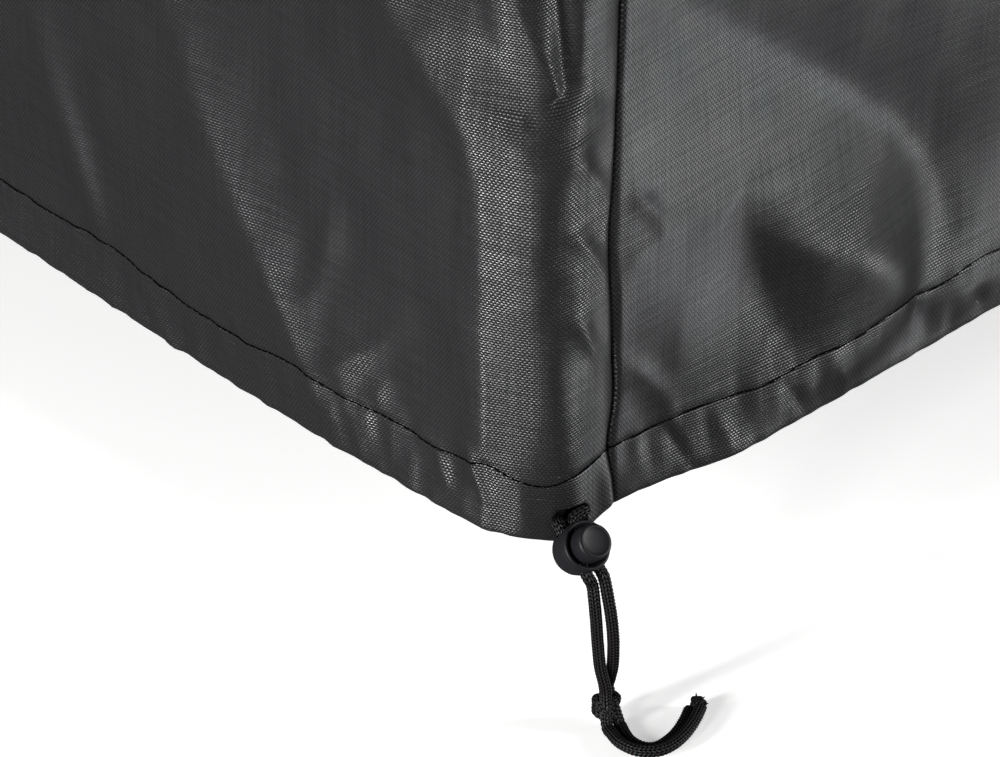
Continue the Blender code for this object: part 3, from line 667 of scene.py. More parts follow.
# The cords from the channel to the lock. The columns are walk from the middle of the pair, height, and depth
# inside the cloth's outer face.
INSIDE_FRONT = ((-2.7, 5.2, 3.8), (-2.9, 7.4, 1.17), (-5.8, 10.4, -2.6))
INSIDE_REAR = ((2.8, 5.4, 3.8), (2.7, 8.1, 1.14), (3.0, 12.7, -2.95))
# Free cords below the lock. The columns are x and y from the corner's sharp point in plan, and height.
STRAND_FRONT = (
    (14.3, 17.0, -10.9),
    (15.3, 17.0, -16.2),
    (15.6, 17.6, -24.0),
    (15.4, 18.5, -32.3),
    (15.1, 20.0, -43.0),
    (15.6, 21.6, -51.0),
    (15.8, 22.0, -56.0),
)
STRAND_REAR = (
    (15.8, 20.6, -8.9),
    (17.4, 21.0, -16.1),
    (18.1, 22.0, -24.7),
    (17.9, 23.1, -33.8),
    (16.2, 24.6, -44.2),
    (13.9, 25.6, -51.4),
    (13.0, 25.8, -55.7),
)
# The pair of ends that lies on the ground. The columns are x and y of its middle line, and how steeply the
# outer cord leans on the inner one, in degrees.
TAIL = (
    (19.0, 22.5, 12),
    (23.4, 20.4, 14),
    (28.5, 18.9, 18),
    (34.1, 19.6, 22),
    (37.7, 22.8, 25),
    (38.6, 27.5, 27),
    (37.4, 34.1, 29),
    (34.4, 41.2, 30),
    (30.9, 47.3, 30),
)
KNOT_CENTRE = (14.4, 23.7, -61.0)
# The knot's turns. The columns are height of the middle, tilt in degrees, and radius across and to the front.
KNOT_LOOPS = (
    (1.9, 16, 3.0, 2.6),
    (-1.9, -12, 3.0, 2.7),
)
# The cord that crosses its front. The columns are across, towards the front, and height.
KNOT_BIGHT = (
    (-3.2, -0.6, 2.4),
    (-2.2, 1.8, 3.0),
    (-0.4, 3.4, 1.2),
    (1.2, 3.2, -1.6),
    (2.6, 1.2, -3.0),
    (3.0, -0.8, -2.6),
)
KNOT_LOOP_CORD = 1.95  # radius of the cord in the turns, pulled tight
KNOT_BIGHT_CORD = 1.85
TIP_CENTRE = (29.6, 49.9, -65.0)
TIP_SIZE = 2.4
# Whiskers drawn out of the melted tip. The columns are direction, length and radius.
WHISKERS = (
    ((-0.75, 0.2, 0.7), 3.4, 0.55),
    ((0.8, 0.7, 0.15), 3.2, 0.6),
    ((-0.2, 0.95, 0.5), 2.9, 0.5),
    ((0.5, -0.1, 0.9), 2.7, 0.4),
)
WHISKER_BEND = 0.7

# ---------------------------------------------------------------- the studio
# Soft boxes. The columns are azimuth (0 in front of the long wall, 90 beside the short one) and elevation in
# degrees, then distance, width, height and watts.
LIGHTS = (
    ("front_light", -4, 10, 2.6, 0.35, 1.4, 112),
    ("corner_light", 18, 10, 2.6, 0.35, 1.4, 46),
    ("side_light", 137, 8, 2.6, 0.45, 1.6, 84),
    ("back_light", 262, 28, 3.2, 1.2, 1.2, 60),
)
LIGHT_AIM = Vector((0.44, -0.28, -0.28))
AMBIENT = 0.10  # strength of the white world
FLOOR_REACH = 8.0

# ---------------------------------------------------------------- the shape of the cover
ARC = HEM_CORNER * math.pi / 2
SIDE_RUN = 2 * (HALF_WIDTH - HEM_CORNER)
LONG_RUN = 2 * (HALF_LENGTH - HEM_CORNER)
PERIMETER = 4 * ARC + 2 * SIDE_RUN + 2 * LONG_RUN
PIECES = np.cumsum([0.0, ARC, SIDE_RUN, ARC, LONG_RUN, ARC, SIDE_RUN, ARC, LONG_RUN])
CORNERS = tuple(PIECES[2 * k] for k in range(4))  # walk of each corner's point
CORNER_SIGNS = ((1, -1), (1, 1), (-1, 1), (-1, -1))
WALLS = {
    "front_panel": (CORNERS[3] - SEAM_WALK - PERIMETER, SEAM_WALK),
    "right_panel": (SEAM_WALK, CORNERS[1] - SEAM_WALK),
    "back_panel": (CORNERS[1] - SEAM_WALK, CORNERS[2] + SEAM_WALK),
    "left_panel": (CORNERS[2] + SEAM_WALK, CORNERS[3] - SEAM_WALK),
}


def smooth(x, xs, ys):
    """Cubic curve through the points xs, ys, flat outside them."""
    xs = np.asarray(xs, float)
    ys = np.asarray(ys, float)
    slopes = np.gradient(ys, xs)
    slopes[0] = 0.0
    slopes[-1] = 0.0
    x = np.clip(x, xs[0], xs[-1])
    k = np.clip(np.searchsorted(xs, x, side="right") - 1, 0, len(xs) - 2)
    width = xs[k + 1] - xs[k]
    t = (x - xs[k]) / width
    return (
        ys[k] * (1 + 2 * t) * (1 - t) ** 2
        + slopes[k] * width * t * (1 - t) ** 2
        + ys[k + 1] * t * t * (3 - 2 * t)
        - slopes[k + 1] * width * t * t * (1 - t)
    )


def column(table, names, name):
    """One named column of a table in millimetres, as metres."""
    return [row[names.index(name)] / 1000 for row in table]


def read_off(table, names, at, wanted):
    """The wanted column of a table in millimetres, read off at a place along its first column, in metres."""
    return smooth(at, column(table, names, names[0]), column(table, names, wanted))


def ease(x, low, high):
    """0 below low, 1 above high, and a smooth step between."""
    t = np.clip((x - low) / (high - low), 0.0, 1.0)
    return t * t * (3 - 2 * t)


def near_zero(u):
    """The walk as the nearest value to the cord's corner, between minus and plus half the perimeter."""
    return (u + PERIMETER / 2) % PERIMETER - PERIMETER / 2


def outline(u, h):
    """Point and outward normal of the rounded rectangle at walk u and height h, before any fold."""
    u, h = np.broadcast_arrays(np.asarray(u, float), np.asarray(h, float))
    out = read_off(WALL, WALL_COLUMNS, h, "out")
    radius = HEM_CORNER + (TOP_CORNER - HEM_CORNER) * ease(h, 0.10, DROP)
    half = np.stack([HALF_LENGTH + out, HALF_WIDTH + out], -1)
    walk = (u + ARC / 2) % PERIMETER
    piece = np.clip(np.searchsorted(PIECES, walk, side="right") - 1, 0, 7)
    part = (walk - PIECES[piece]) / (PIECES[piece + 1] - PIECES[piece])
    corner = piece // 2
    signs = np.asarray(CORNER_SIGNS, float)
    centre = signs[corner] * (half - radius[..., None])
    after = signs[(corner + 1) % 4] * (half - radius[..., None])
    angle = np.pi / 2 * (corner - 1) + np.pi / 2 * np.where(piece % 2 == 0, part, 1.0)
    normal = np.stack([np.cos(angle), np.sin(angle)], -1)
    along = np.where(piece % 2 == 0, 0.0, part)[..., None]
    point = centre + (after - centre) * along + normal * radius[..., None]
    return point, normal


def crest(u, h, line):
    """One ridge or trough of a fold table."""
    total = np.zeros(np.broadcast(u, h).shape)
    nearest = np.full(total.shape, np.inf)
    line = np.asarray(line) / 1000
    for first, last in zip(line, line[1:]):
        du, dh = last[:2] - first[:2]
        pu = near_zero(u - first[0])
        ph = h - first[1]
        share = np.clip((pu * du + ph * dh) / (du * du + dh * dh), 0.0, 1.0)
        off = np.hypot(pu - share * du, ph - share * dh)
        rise, low, high, soft = (a + (b - a) * share for a, b in zip(first[2:], last[2:]))
        reach = np.where(dh * pu > du * ph, low, high)
        slope = (np.hypot(off, soft) - soft) / (np.hypot(reach, soft) - soft)
        total = np.where(off < nearest, rise * np.clip(1 - slope, 0.0, 1.0) ** 2, total)
        nearest = np.minimum(nearest, off)
    return total


def waves(u, h, table):
    """The sum of a table's waves."""
    total = 0.0
    for along, up, size, phase in table:
        total = total + size / 1000 * np.sin(2 * np.pi * (along * u + up * h) + phase)
    return total


def folds(u, h):
    """How far the cloth's outer face stands out from the outline."""
    walk = near_zero(u)
    calm = ease(walk, CALM[0] - CALM_EASE, CALM[0]) * (1 - ease(walk, CALM[1], CALM[1] + CALM_EASE))
    edge = read_off(SWAY, SWAY_COLUMNS, walk, "edge")
    stitch = read_off(SWAY, SWAY_COLUMNS, walk, "stitch")
    total = (edge + (stitch - edge) * ease(h, *EDGE_TO_STITCH)) * (1 - ease(h, *SWAY_ENDS))
    slack = ease(DROP - h, *WAVES_STOP)
    for count, size, phase in WAVES:
        wave = np.sin(2 * np.pi * count * u / PERIMETER + phase)
        total = total + size / 1000 * wave * (1 - calm) * slack
    free = ease(h, *FOLDS_BEGIN) * (1 - HEM_KEEPS) + HEM_KEEPS
    top = ease(DROP - h, *FOLDS_STOP)
    for line in FOLDS:
        total = total + crest(u, h, line) * free * top
    for line in HEM_FOLDS:
        total = total + crest(u, h, line)
    at_lock = np.exp(-(((walk - EYELET_WALK) / LOCK_REACH) ** 2))
    tight = 1 - RIGHT_WALL_CALM * ease(walk, *RIGHT_WALL)
    total = total + waves(walk, h, CRINKLES) * free * top * tight
    slack_hem = (1 - at_lock) * (1 - RIGHT_HEM_CALM * ease(walk, *RIGHT_HEM))
    total = total + waves(walk, h, GATHERS) * slack_hem * (1 - ease(h, *GATHERS_END))
    return total


def stitch_height(u):
    """Height of the hem's stitch line."""
    return read_off(STITCH, STITCH_COLUMNS, near_zero(u), "height")


def pucker(u, h):
    """How far the hem's stitches draw the cloth in."""
    off = (h - stitch_height(u)) / PUCKER_REACH
    return PUCKER_DEPTH * np.exp(-off * off) * (0.8 + 0.2 * np.cos(2 * np.pi * u / STITCH_LENGTH))


def place(u, h, depth=0.0, groove=0.0):
    """Points at walk u and height h, depth inside the cloth's outer face."""
    point, normal = outline(u, h)
    out = folds(u, h) - depth - groove
    xy = point + normal * out[..., None]
    sag = read_off(SAG, SAG_COLUMNS, near_zero(u), "sag") * (1 - ease(h, *SAG_ENDS))
    z = h - sag - DROP
    return np.concatenate([xy, np.broadcast_to(z, out.shape)[..., None]], -1)


def seam_shift(h):
    """How far along the walk a seam has wandered."""
    return read_off(SEAM_WANDER, SEAM_WANDER_COLUMNS, h, "shift")


def corner_point(x, y, height):
    """A point in millimetres from the corner's sharp point in plan and from the hem's line."""
    return Vector((HALF_LENGTH + x / 1000, -HALF_WIDTH + y / 1000, height / 1000 - DROP))


# ---------------------------------------------------------------- sizes and colours that a user would change
def linear(code):
    """An sRGB hex colour as linear red, green and blue."""
    values = [int(code[k : k + 2], 16) / 255 for k in (1, 3, 5)]
    return tuple(v / 12.92 if v <= 0.04045 else ((v + 0.055) / 1.055) ** 2.4 for v in values)


class CoverSizes(bpy.types.PropertyGroup):
    warp_pitch: bpy.props.FloatProperty(
        name="Warp pitch",
        description="From one upright yarn to the next",
        default=0.00067,
        min=0.0002,
        unit="LENGTH",
    )
    weft_pitch: bpy.props.FloatProperty(
        name="Weft pitch",
        description="From one level yarn to the next",
        default=0.00092,
        min=0.0002,
        unit="LENGTH",
    )
    rib_pitch: bpy.props.FloatProperty(
        name="Rib pitch",
        description="From one thick strengthening yarn to the next",
        default=0.0043,
        min=0.001,
        unit="LENGTH",
    )
    yarn_depth: bpy.props.FloatProperty(
        name="Yarn depth",
        description="How far a yarn stands up where it crosses over another",
        default=0.00020,
        min=0.0,
        unit="LENGTH",
    )
    thread: bpy.props.FloatProperty(
        name="Thread radius",
        description="Radius of the sewing thread",
        default=0.00024,
        min=0.0001,
        unit="LENGTH",
    )
    braid_pitch: bpy.props.FloatProperty(
        name="Braid pitch",
        description="From one plait of the cord's braid to the next along it",
        default=0.0013,
        min=0.0005,
        unit="LENGTH",
    )


class CoverColours(bpy.types.PropertyGroup):
    cloth: bpy.props.FloatVectorProperty(
        name="Cloth",
        description="Colour of the cloth's yarns",
        default=linear("#1f1f20"),
        subtype="COLOR",
        size=3,
        min=0.0,
        max=1.0,
    )
    cord: bpy.props.FloatVectorProperty(
        name="Cord",
        description="Colour of the braided cord and the sewing thread",
        default=linear("#191717"),
        subtype="COLOR",
        size=3,
        min=0.0,
        max=1.0,
    )
    lock: bpy.props.FloatVectorProperty(
        name="Lock",
        description="Colour of the cord lock's plastic",
        default=linear("#161518"),
        subtype="COLOR",
        size=3,
        min=0.0,
        max=1.0,
    )
    floor: bpy.props.FloatVectorProperty(
        name="Floor",
        description="Colour of the floor",
        default=linear("#f6f6f5"),
        subtype="COLOR",
        size=3,
        min=0.0,
        max=1.0,
    )


# ---------------------------------------------------------------- materials
def add_node(tree, kind, inputs=None, **settings):
    """A node with its settings, and its inputs either linked from a socket or set to a value."""
    made = tree.nodes.new(kind)
    for name, value in settings.items():
        setattr(made, name, value)
    for name, value in (inputs or {}).items():
        if isinstance(value, bpy.types.NodeSocket):
            tree.links.new(value, made.inputs[name])
        else:
            made.inputs[name].default_value = value
    return made


def new_material(name):
    """An empty material that holds only its output: (material, tree, output)."""
    material = bpy.data.materials.new(name)
    material.use_nodes = True
    tree = material.node_tree
    tree.nodes.clear()
    return material, tree, tree.nodes.new("ShaderNodeOutputMaterial")


def result_of(tree, kind, *values):
    """One math node's result."""
    return add_node(tree, "ShaderNodeMath", dict(enumerate(values)), operation=kind).outputs[0]


def mapped(tree, value, low, high, to_low, to_high, kind="LINEAR"):
    """A value carried over from the range low to high to another range."""
    ends = {"Value": value, "From Min": low, "From Max": high, "To Min": to_low, "To Max": to_high}
    return add_node(tree, "ShaderNodeMapRange", ends, interpolation_type=kind).outputs[0]


def scaled(tree, colour, share):
    """A colour made darker or brighter by a share."""
    return add_node(tree, "ShaderNodeVectorMath", {0: colour, "Scale": share}, operation="SCALE").outputs[0]


def bump(tree, height, distance, strength):
    """The normal of a relief."""
    inputs = {"Strength": strength, "Distance": distance, "Height": height}
    return add_node(tree, "ShaderNodeBump", inputs).outputs[0]


def noise(tree, at, scale, detail):
    """Noise at a place, from 0 to 1."""
    inputs = {"Vector": at, "Scale": scale, "Detail": detail}
    return add_node(tree, "ShaderNodeTexNoise", inputs).outputs["Fac"]


def finished(material, tree, output, inputs):
    """The material with its one surface shader."""
    shader = add_node(tree, "ShaderNodeBsdfPrincipled", inputs)
    tree.links.new(shader.outputs[0], output.inputs[0])
    return material


def woven_polyester(sizes, colour):
    """Coated plain-weave polyester. Its smooth filament yarns give the eye bright flecks in a highlight and a
    plain dark face elsewhere. Yarns that vary in thickness streak the highlights along both threads, and a
    thicker yarn every few millimetres draws a faint grid. The yarns are drawn as far apart as they look in
    the photo, which may be coarser than they are, so that they show."""
    material, tree, output = new_material("woven polyester")
    at = add_node(tree, "ShaderNodeAttribute", attribute_name="weave_at").outputs["Vector"]
    parts = add_node(tree, "ShaderNodeSeparateXYZ", {0: at})
    warp = result_of(tree, "MULTIPLY", parts.outputs[0], math.pi / sizes.warp_pitch)
    weft = result_of(tree, "MULTIPLY", parts.outputs[1], math.pi / sizes.weft_pitch)
    warp = result_of(tree, "COSINE", warp)
    weft = result_of(tree, "COSINE", weft)
    product = result_of(tree, "MULTIPLY", warp, weft)
    # 1 where an upright yarn lies over a level one, 0 where it lies under it
    over = mapped(tree, product, -0.35, 0.35, 0.0, 1.0, "SMOOTHSTEP")
    warp = result_of(tree, "ABSOLUTE", warp)
    weft = result_of(tree, "ABSOLUTE", weft)
    sunk = result_of(tree, "MULTIPLY_ADD", over, -0.35, 1.0)
    level = result_of(tree, "MULTIPLY", weft, sunk)
    upright = result_of(tree, "MULTIPLY", warp, over)
    yarns = result_of(tree, "MULTIPLY_ADD", upright, 0.22, level)
    ribs = []
    for axis in (0, 1):
        turn = result_of(tree, "MULTIPLY", parts.outputs[axis], 2 * math.pi / sizes.rib_pitch)
        turn = result_of(tree, "COSINE", turn)
        ribs.append(result_of(tree, "GREATER_THAN", turn, 0.90))
    rib = result_of(tree, "MAXIMUM", *ribs)
    rib = result_of(tree, "MULTIPLY", rib, -0.30)
    height = result_of(tree, "ADD", yarns, rib)
    # Painted shade: the colour is darker in the gaps between the yarns. The tone of upright and level yarns
    # differs as well.
    gap_shade = mapped(tree, yarns, 0.0, 0.7, 0.55, 1.0)
    tone = mapped(tree, over, 0.0, 1.0, 1.1, 0.8)
    shade = scaled(tree, colour, result_of(tree, "MULTIPLY", gap_shade, tone))
    gloss = mapped(tree, over, 0.0, 1.0, 0.54, 0.06)
    slubs = []
    for stretch in ((1 / 0.0012, 1 / 0.035, 1.0), (1 / 0.030, 1 / 0.0014, 1.0)):
        along = add_node(tree, "ShaderNodeVectorMath", {0: at, 1: stretch}, operation="MULTIPLY")
        slubs.append(noise(tree, along.outputs[0], 1.0, 2.0))
    slub = mapped(tree, result_of(tree, "ADD", *slubs), 0.7, 1.3, 0.55, 1.45)
    inputs = {
        "Base Color": shade,
        "Roughness": 0.30,
        "IOR": 1.5,
        "Specular IOR Level": result_of(tree, "MULTIPLY", gloss, slub),
        "Normal": bump(tree, height, sizes.yarn_depth, 1.0),
    }
    return finished(material, tree, output, inputs)


def braided_cord(colour):
    """Braided polyester cord, nearly black. Its plaits are in the mesh. They catch a sheen that fine
    filaments break up, and the colour is painted darker in the valleys between them: painted shade."""
    material, tree, output = new_material("braided polyester cord")
    at = add_node(tree, "ShaderNodeAttribute", attribute_name="braid_at").outputs["Vector"]
    plait = add_node(tree, "ShaderNodeSeparateXYZ", {0: at}).outputs[2]
    inputs = {"Vector": at, "Scale": 1600.0, "Distortion": 1.5, "Detail": 1.0}
    lines = add_node(tree, "ShaderNodeTexWave", inputs, bands_direction="X")
    # Painted shade: the colour darkens towards the valleys between the plaits.
    depth = mapped(tree, plait, 0.2, 0.8, 0.05, 1.0)
    inputs = {
        "Base Color": scaled(tree, colour, depth),
        "Roughness": 0.42,
        "Specular IOR Level": mapped(tree, plait, 0.35, 1.0, 0.0, 0.45),
        "Normal": bump(tree, lines.outputs["Fac"], 0.00006, 0.5),
    }
    return finished(material, tree, output, inputs)


def moulded_plastic(colour):
    """Injection-moulded acetal, black. The mould's fine spark-eroded grain gives it a satin face."""
    material, tree, output = new_material("moulded acetal")
    at = add_node(tree, "ShaderNodeTexCoord").outputs["Object"]
    inputs = {
        "Base Color": (*colour, 1.0),
        "Roughness": mapped(tree, noise(tree, at, 260.0, 4.0), 0.0, 1.0, 0.36, 0.50),
        "IOR": 1.48,
        "Specular IOR Level": 0.15,
        "Normal": bump(tree, noise(tree, at, 2600.0, 3.0), 0.00005, 0.35),
    }
    return finished(material, tree, output, inputs)


def floor_acrylic(colour):
    """Opal acrylic of a photographer's table, near white. A lamp below it takes most of the depth from
    shadows."""
    material, tree, output = new_material("opal acrylic")
    inputs = {
        "Base Color": (*colour, 1.0),
        "Roughness": 0.9,
        "Specular IOR Level": 0.1,
        "Emission Color": (1.0, 1.0, 1.0, 1.0),
        "Emission Strength": 0.42,
    }
    return finished(material, tree, output, inputs)


def material_of(name):
    """The named material, made the first time that it is asked for."""
    made = bpy.data.materials.get(name)
    if made:
        return made
    colours = bpy.context.scene.cover_colours
    if name == "woven polyester":
        return woven_polyester(bpy.context.scene.cover_sizes, colours.cloth)
    if name == "braided polyester cord":
        return braided_cord(colours.cord)
    if name == "moulded acetal":
        return moulded_plastic(colours.lock)
    return floor_acrylic(colours.floor)


# ---------------------------------------------------------------- mesh helpers
def mesh_object(name, points, faces, material, places=None, attribute="weave_at"):
    """A smooth object from points and faces, with a place on the cloth or cord for each point."""
    mesh = bpy.data.meshes.new(name)
    mesh.from_pydata([tuple(p) for p in np.asarray(points, float)], [], [tuple(f) for f in faces])
    mesh.validate()
    mesh.shade_smooth()
    if places is not None:
        layer = mesh.attributes.new(attribute, "FLOAT_VECTOR", "POINT")
        layer.data.foreach_set("vector", np.asarray(places, np.float32).ravel())
    mesh.materials.append(material)
    obj = bpy.data.objects.new(name, mesh)
    bpy.context.scene.collection.objects.link(obj)
    return obj


def grid_faces(count, size, closed=False):
    """Quads between neighbouring rings of a grid with count rings of size points."""
    i = np.arange(count - 1)[:, None]
    j = np.arange(size if closed else size - 1)[None, :]
    k = (j + 1) % size
    quads = np.stack([i * size + j, i * size + k, (i + 1) * size + k, (i + 1) * size + j], -1)
    return quads.reshape(-1, 4).tolist()


def settle(obj):
    """Applies the object's modifiers, so that its mesh is final."""
    graph = bpy.context.evaluated_depsgraph_get()
    final = bpy.data.meshes.new_from_object(obj.evaluated_get(graph))
    old = obj.data
    obj.modifiers.clear()
    obj.data = final
    bpy.data.meshes.remove(old)


def thicken(obj):
    """Gives an open sheet the cloth's thickness, behind its outer face."""
    modifier = obj.modifiers.new("cloth", "SOLIDIFY")
    modifier.thickness = CLOTH
    modifier.offset = -1
    modifier.use_even_offset = False
    settle(obj)
    obj.data.shade_smooth()


def ride(obj, body, slot, *nodes):
    """Fixes a piece to a body, in place of the CAD nodes it stands for. The slot argument is not used."""
    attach(obj, body)
    if nodes:
        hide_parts(*nodes)


# ---------------------------------------------------------------- cloth
def spread(low, high, near, far, middle, step, growth):
    """Values from low to high, step apart between near and far of the middle, and wider apart beyond."""
    values = [middle]
    for way, stop in ((1, high), (-1, low)):
        reach = far if way > 0 else near
        value = middle
        while True:
            past = max(0.0, abs(value - middle) - reach)
            value += way * (step + past * growth)
            if (stop - value) * way < step / 2:
                break
            values.append(value)
    return sorted(values + [low, high])


def face_heights(fine):
    """Heights of a wall's rows, from the top seam down to the hem's fold."""
    low, high = STITCH_BAND
    rows = spread(
        FOLD,
        DROP - SKIRT,
        near=1.0,
        far=ROWS_CLOSE if fine else ROWS_CLOSE_BEHIND,
        middle=0.024,
        step=ROW_STEP if fine else ROW_STEP_BEHIND,
        growth=0.05,
    )
    rows = [row for row in rows if not low - 0.0005 < row < high + 0.0005]
    rows += np.arange(low, high, STITCH_ROW_STEP).tolist()
    return sorted(rows, reverse=True)


def wall_rows(fine):
    """A wall's rows as depth and height: turned in at the top seam, down the face, round the fold and up
    inside."""
    top = DROP - SKIRT
    turned = [(depth / 1000, top - below / 1000) for depth, below in TURNED_IN]
    face = []
    for height in face_heights(fine)[1:]:
        near_top = max(0.0, 1 - (top - height) / (TOP_ROLL_REACH / 1000))
        face.append((TOP_ROLL / 1000 * near_top**2, height))
    turns = np.linspace(0, 1, FOLD_POINTS + 2)[1:-1]
    under = [(FOLD - FOLD * math.cos(math.pi * t), FOLD - FOLD * math.sin(math.pi * t)) for t in turns]
    layer = [(depth / 1000, height / 1000) for depth, height in LAYER]
    return np.asarray(turned + face + under + layer)


def wall_walks(start, end):
    """A wall's columns as walk and how far the cloth has rolled in there, closest together by the cord's
    corner."""
    edge = SEAM_ROLL[-1][0] / 1000
    low = start + GAP / 2 + edge
    high = end - GAP / 2 - edge
    if start < 0.0 < end:
        inner = spread(low, high, near=0.05, far=0.05, middle=0.0, step=COLUMN_STEP, growth=0.014)
    elif start == SEAM_WALK:
        inner = spread(low, high, near=0.0, far=0.03, middle=low, step=COLUMN_STEP, growth=0.0085)[1:]
    else:
        inner = np.linspace(low, high, round((high - low) / COLUMN_STEP_BEHIND) + 1).tolist()
    left = [(start + GAP / 2 + off / 1000, roll / 1000) for off, roll in SEAM_ROLL[:-1]]
    right = [(end - GAP / 2 - off / 1000, roll / 1000) for off, roll in reversed(SEAM_ROLL[:-1])]
    return np.asarray(left + [(u, 0.0) for u in inner] + right)


def wall_sheet(name):
    """One wall's cloth from seam to seam, with its hem folded up round the channel and sewn."""
    start, end = WALLS[name]
    rows = wall_rows(name in ("front_panel", "right_panel"))
    walks = wall_walks(start, end)
    depth, height = (part[None, :] for part in rows.T)
    u, roll = (part[:, None] for part in walks.T)
    walk = u + seam_shift(height)
    full = SEAM_ROLL[0][1]
    limit = HEM_SEAM_ROLL + (full - HEM_SEAM_ROLL) * ease(height, *SEAM_OPENS)
    roll = np.minimum(roll, limit / 1000)
    on_face = np.arange(len(rows))[None, :] < len(rows) - len(LAYER) - FOLD_POINTS
    groove = roll + pucker(walk, height) * on_face
    points = place(walk, height, depth, groove)
    cloth_at = np.stack(np.broadcast_arrays(walk, height - depth, 0.0), -1)
    faces = grid_faces(len(walks), len(rows))
    if name == "front_panel":
        faces = without_eyelet(points, walk, height, on_face, faces)
    cloth = material_of("woven polyester")
    obj = mesh_object(name + "_cloth", points.reshape(-1, 3), faces, cloth, cloth_at.reshape(-1, 3))
    thicken(obj)
    ride(obj, "cover", "cloth", name)
    return obj


def eyelet_reach(walk, height):
    """How far a point is from the buttonhole's middle, as a share of the way to its outline."""
    x = (near_zero(walk) - EYELET_WALK) / (EYELET_LONG / 2)
    y = (height - EYELET_HEIGHT) / (EYELET_TALL / 2)
    return (np.abs(x) ** 3 + np.abs(y) ** 3) ** (1 / 3)


def without_eyelet(points, walk, height, on_face, faces):
    """Leaves out the faces inside the buttonhole and moves the points left inside it onto its outline."""
    height = np.broadcast_to(height, walk.shape)
    reach = eyelet_reach(walk, height)
    inside = ((reach < 1.0) & on_face).reshape(-1)
    kept = [face for face in faces if not all(inside[k] for k in face)]
    flat = points.reshape(-1, 3)
    for k in {k for face in kept for k in face if inside[k]}:
        u = EYELET_WALK + (near_zero(walk.flat[k]) - EYELET_WALK) / reach.flat[k]
        h = EYELET_HEIGHT + (height.flat[k] - EYELET_HEIGHT) / reach.flat[k]
        flat[k] = place(u, h).reshape(3)
    return kept


class COVER_OT_walls(bpy.types.Operator):
    """Makes the cloth of the four walls with their corded hem"""

    bl_idname = "cover.walls"
    bl_label = "Walls"

    def execute(self, context):
        for name in WALLS:
            wall_sheet(name)
        return {"FINISHED"}


class COVER_OT_top(bpy.types.Operator):
    """Makes the cloth of the top with its turned-down edge"""

    bl_idname = "cover.top"
    bl_label = "Top"

    def execute(self, context):
        rim = []
        for corner in range(4):
            rim += [CORNERS[corner] + share * ARC for share in np.linspace(-0.5, 0.5, 13)]
            run = LONG_RUN if corner % 2 else SIDE_RUN
            count = round(run / RIM_STEP)
            rim += [CORNERS[corner] + ARC / 2 + k / count * run for k in range(1, count)]
        rim = np.asarray(rim)
        height = DROP - SKIRT + GAP
        edge, normal = outline(rim, np.full(len(rim), DROP - SKIRT))
        edge = edge + normal * folds(rim, np.full(len(rim), height))[:, None]
        sections = [(inset / 1000, GAP - SKIRT + above / 1000) for inset, above in TOP_SKIRT]
        sections += [(inset / 1000, z / 1000) for inset, z in TOP_ROUNDING]
        flat = sections[-1][1]
        rings = [np.column_stack([edge - normal * inset, np.full(len(rim), z)]) for inset, z in sections]
        for share in np.linspace(0.97, 0.02, TOP_RINGS):
            spot = edge * share
            rings.append(np.column_stack([spot, flat + ripple(spot[:, 0], spot[:, 1])]))
        points = np.asarray(rings)
        size = len(rim)
        faces = grid_faces(len(rings), size, closed=True)
        centre = len(rings) * size
        faces += [(centre - size + j, centre - size + (j + 1) % size, centre) for j in range(size)]
        points = np.concatenate([points.reshape(-1, 3), [[0.0, 0.0, flat]]])
        cloth_at = points * (1, 1, 0)
        obj = mesh_object("top_panel_cloth", points, faces, material_of("woven polyester"), cloth_at)
        thicken(obj)
        ride(obj, "cover", "cloth", "top_panel")
        return {"FINISHED"}


def ripple(x, y):
    """The top's low unevenness, none at its middle."""
    shape = np.sin(11 * x + 1.2) * np.cos(13 * y - 0.4) + 0.6 * np.sin(23 * x - 17 * y)
    from_middle = np.hypot(x / HALF_LENGTH, y / HALF_WIDTH)
    return TOP_RIPPLE * shape * ease(from_middle, 0.10, 0.45) * (1 - ease(from_middle, 0.75, 1.0))


# ---------------------------------------------------------------- sewing
class COVER_OT_stitches(bpy.types.Operator):
    """Makes the stitches that close the hem's channel"""

    bl_idname = "cover.stitches"
    bl_label = "Hem stitches"

    def execute(self, context):
        radius = context.scene.cover_sizes.thread
        sides = 6
        along = np.linspace(0.06, 0.94, 6)
        depth = STITCH_SUNK - STITCH_RISE * np.sin(np.pi * along) ** 0.6
        starts = np.arange(round(PERIMETER / STITCH_LENGTH)) * STITCH_LENGTH
        walks = starts[:, None] + along[None, :] * STITCH_LENGTH
        heights = stitch_height(walks)
        middle = place(walks, heights, depth[None, :])
        ahead = place(walks + 0.0001, heights, depth[None, :]) - middle
        ahead /= np.linalg.norm(ahead, axis=-1, keepdims=True)
        up = np.array([0.0, 0.0, 1.0])
        out = np.cross(ahead, up)
        out /= np.linalg.norm(out, axis=-1, keepdims=True)
        over = np.cross(out, ahead)
        points = []
        for k in range(sides):
            angle = 2 * math.pi * k / sides
            points.append(middle + radius * (math.cos(angle) * out + math.sin(angle) * over))
        points = np.stack(points, axis=2)
        count, length = points.shape[:2]
        faces = []
        one = grid_faces(length, sides, closed=True)
        caps = [tuple(range(sides)), tuple(range((length - 1) * sides, length * sides))[::-1]]
        for k in range(count):
            first = k * length * sides
            faces += [tuple(first + spot for spot in face) for face in one + caps]
        thread = material_of("braided polyester cord")
        obj = mesh_object("hem_stitches", points.reshape(-1, 3), faces, thread)
        ride(obj, "cover", "cloth")
        return {"FINISHED"}


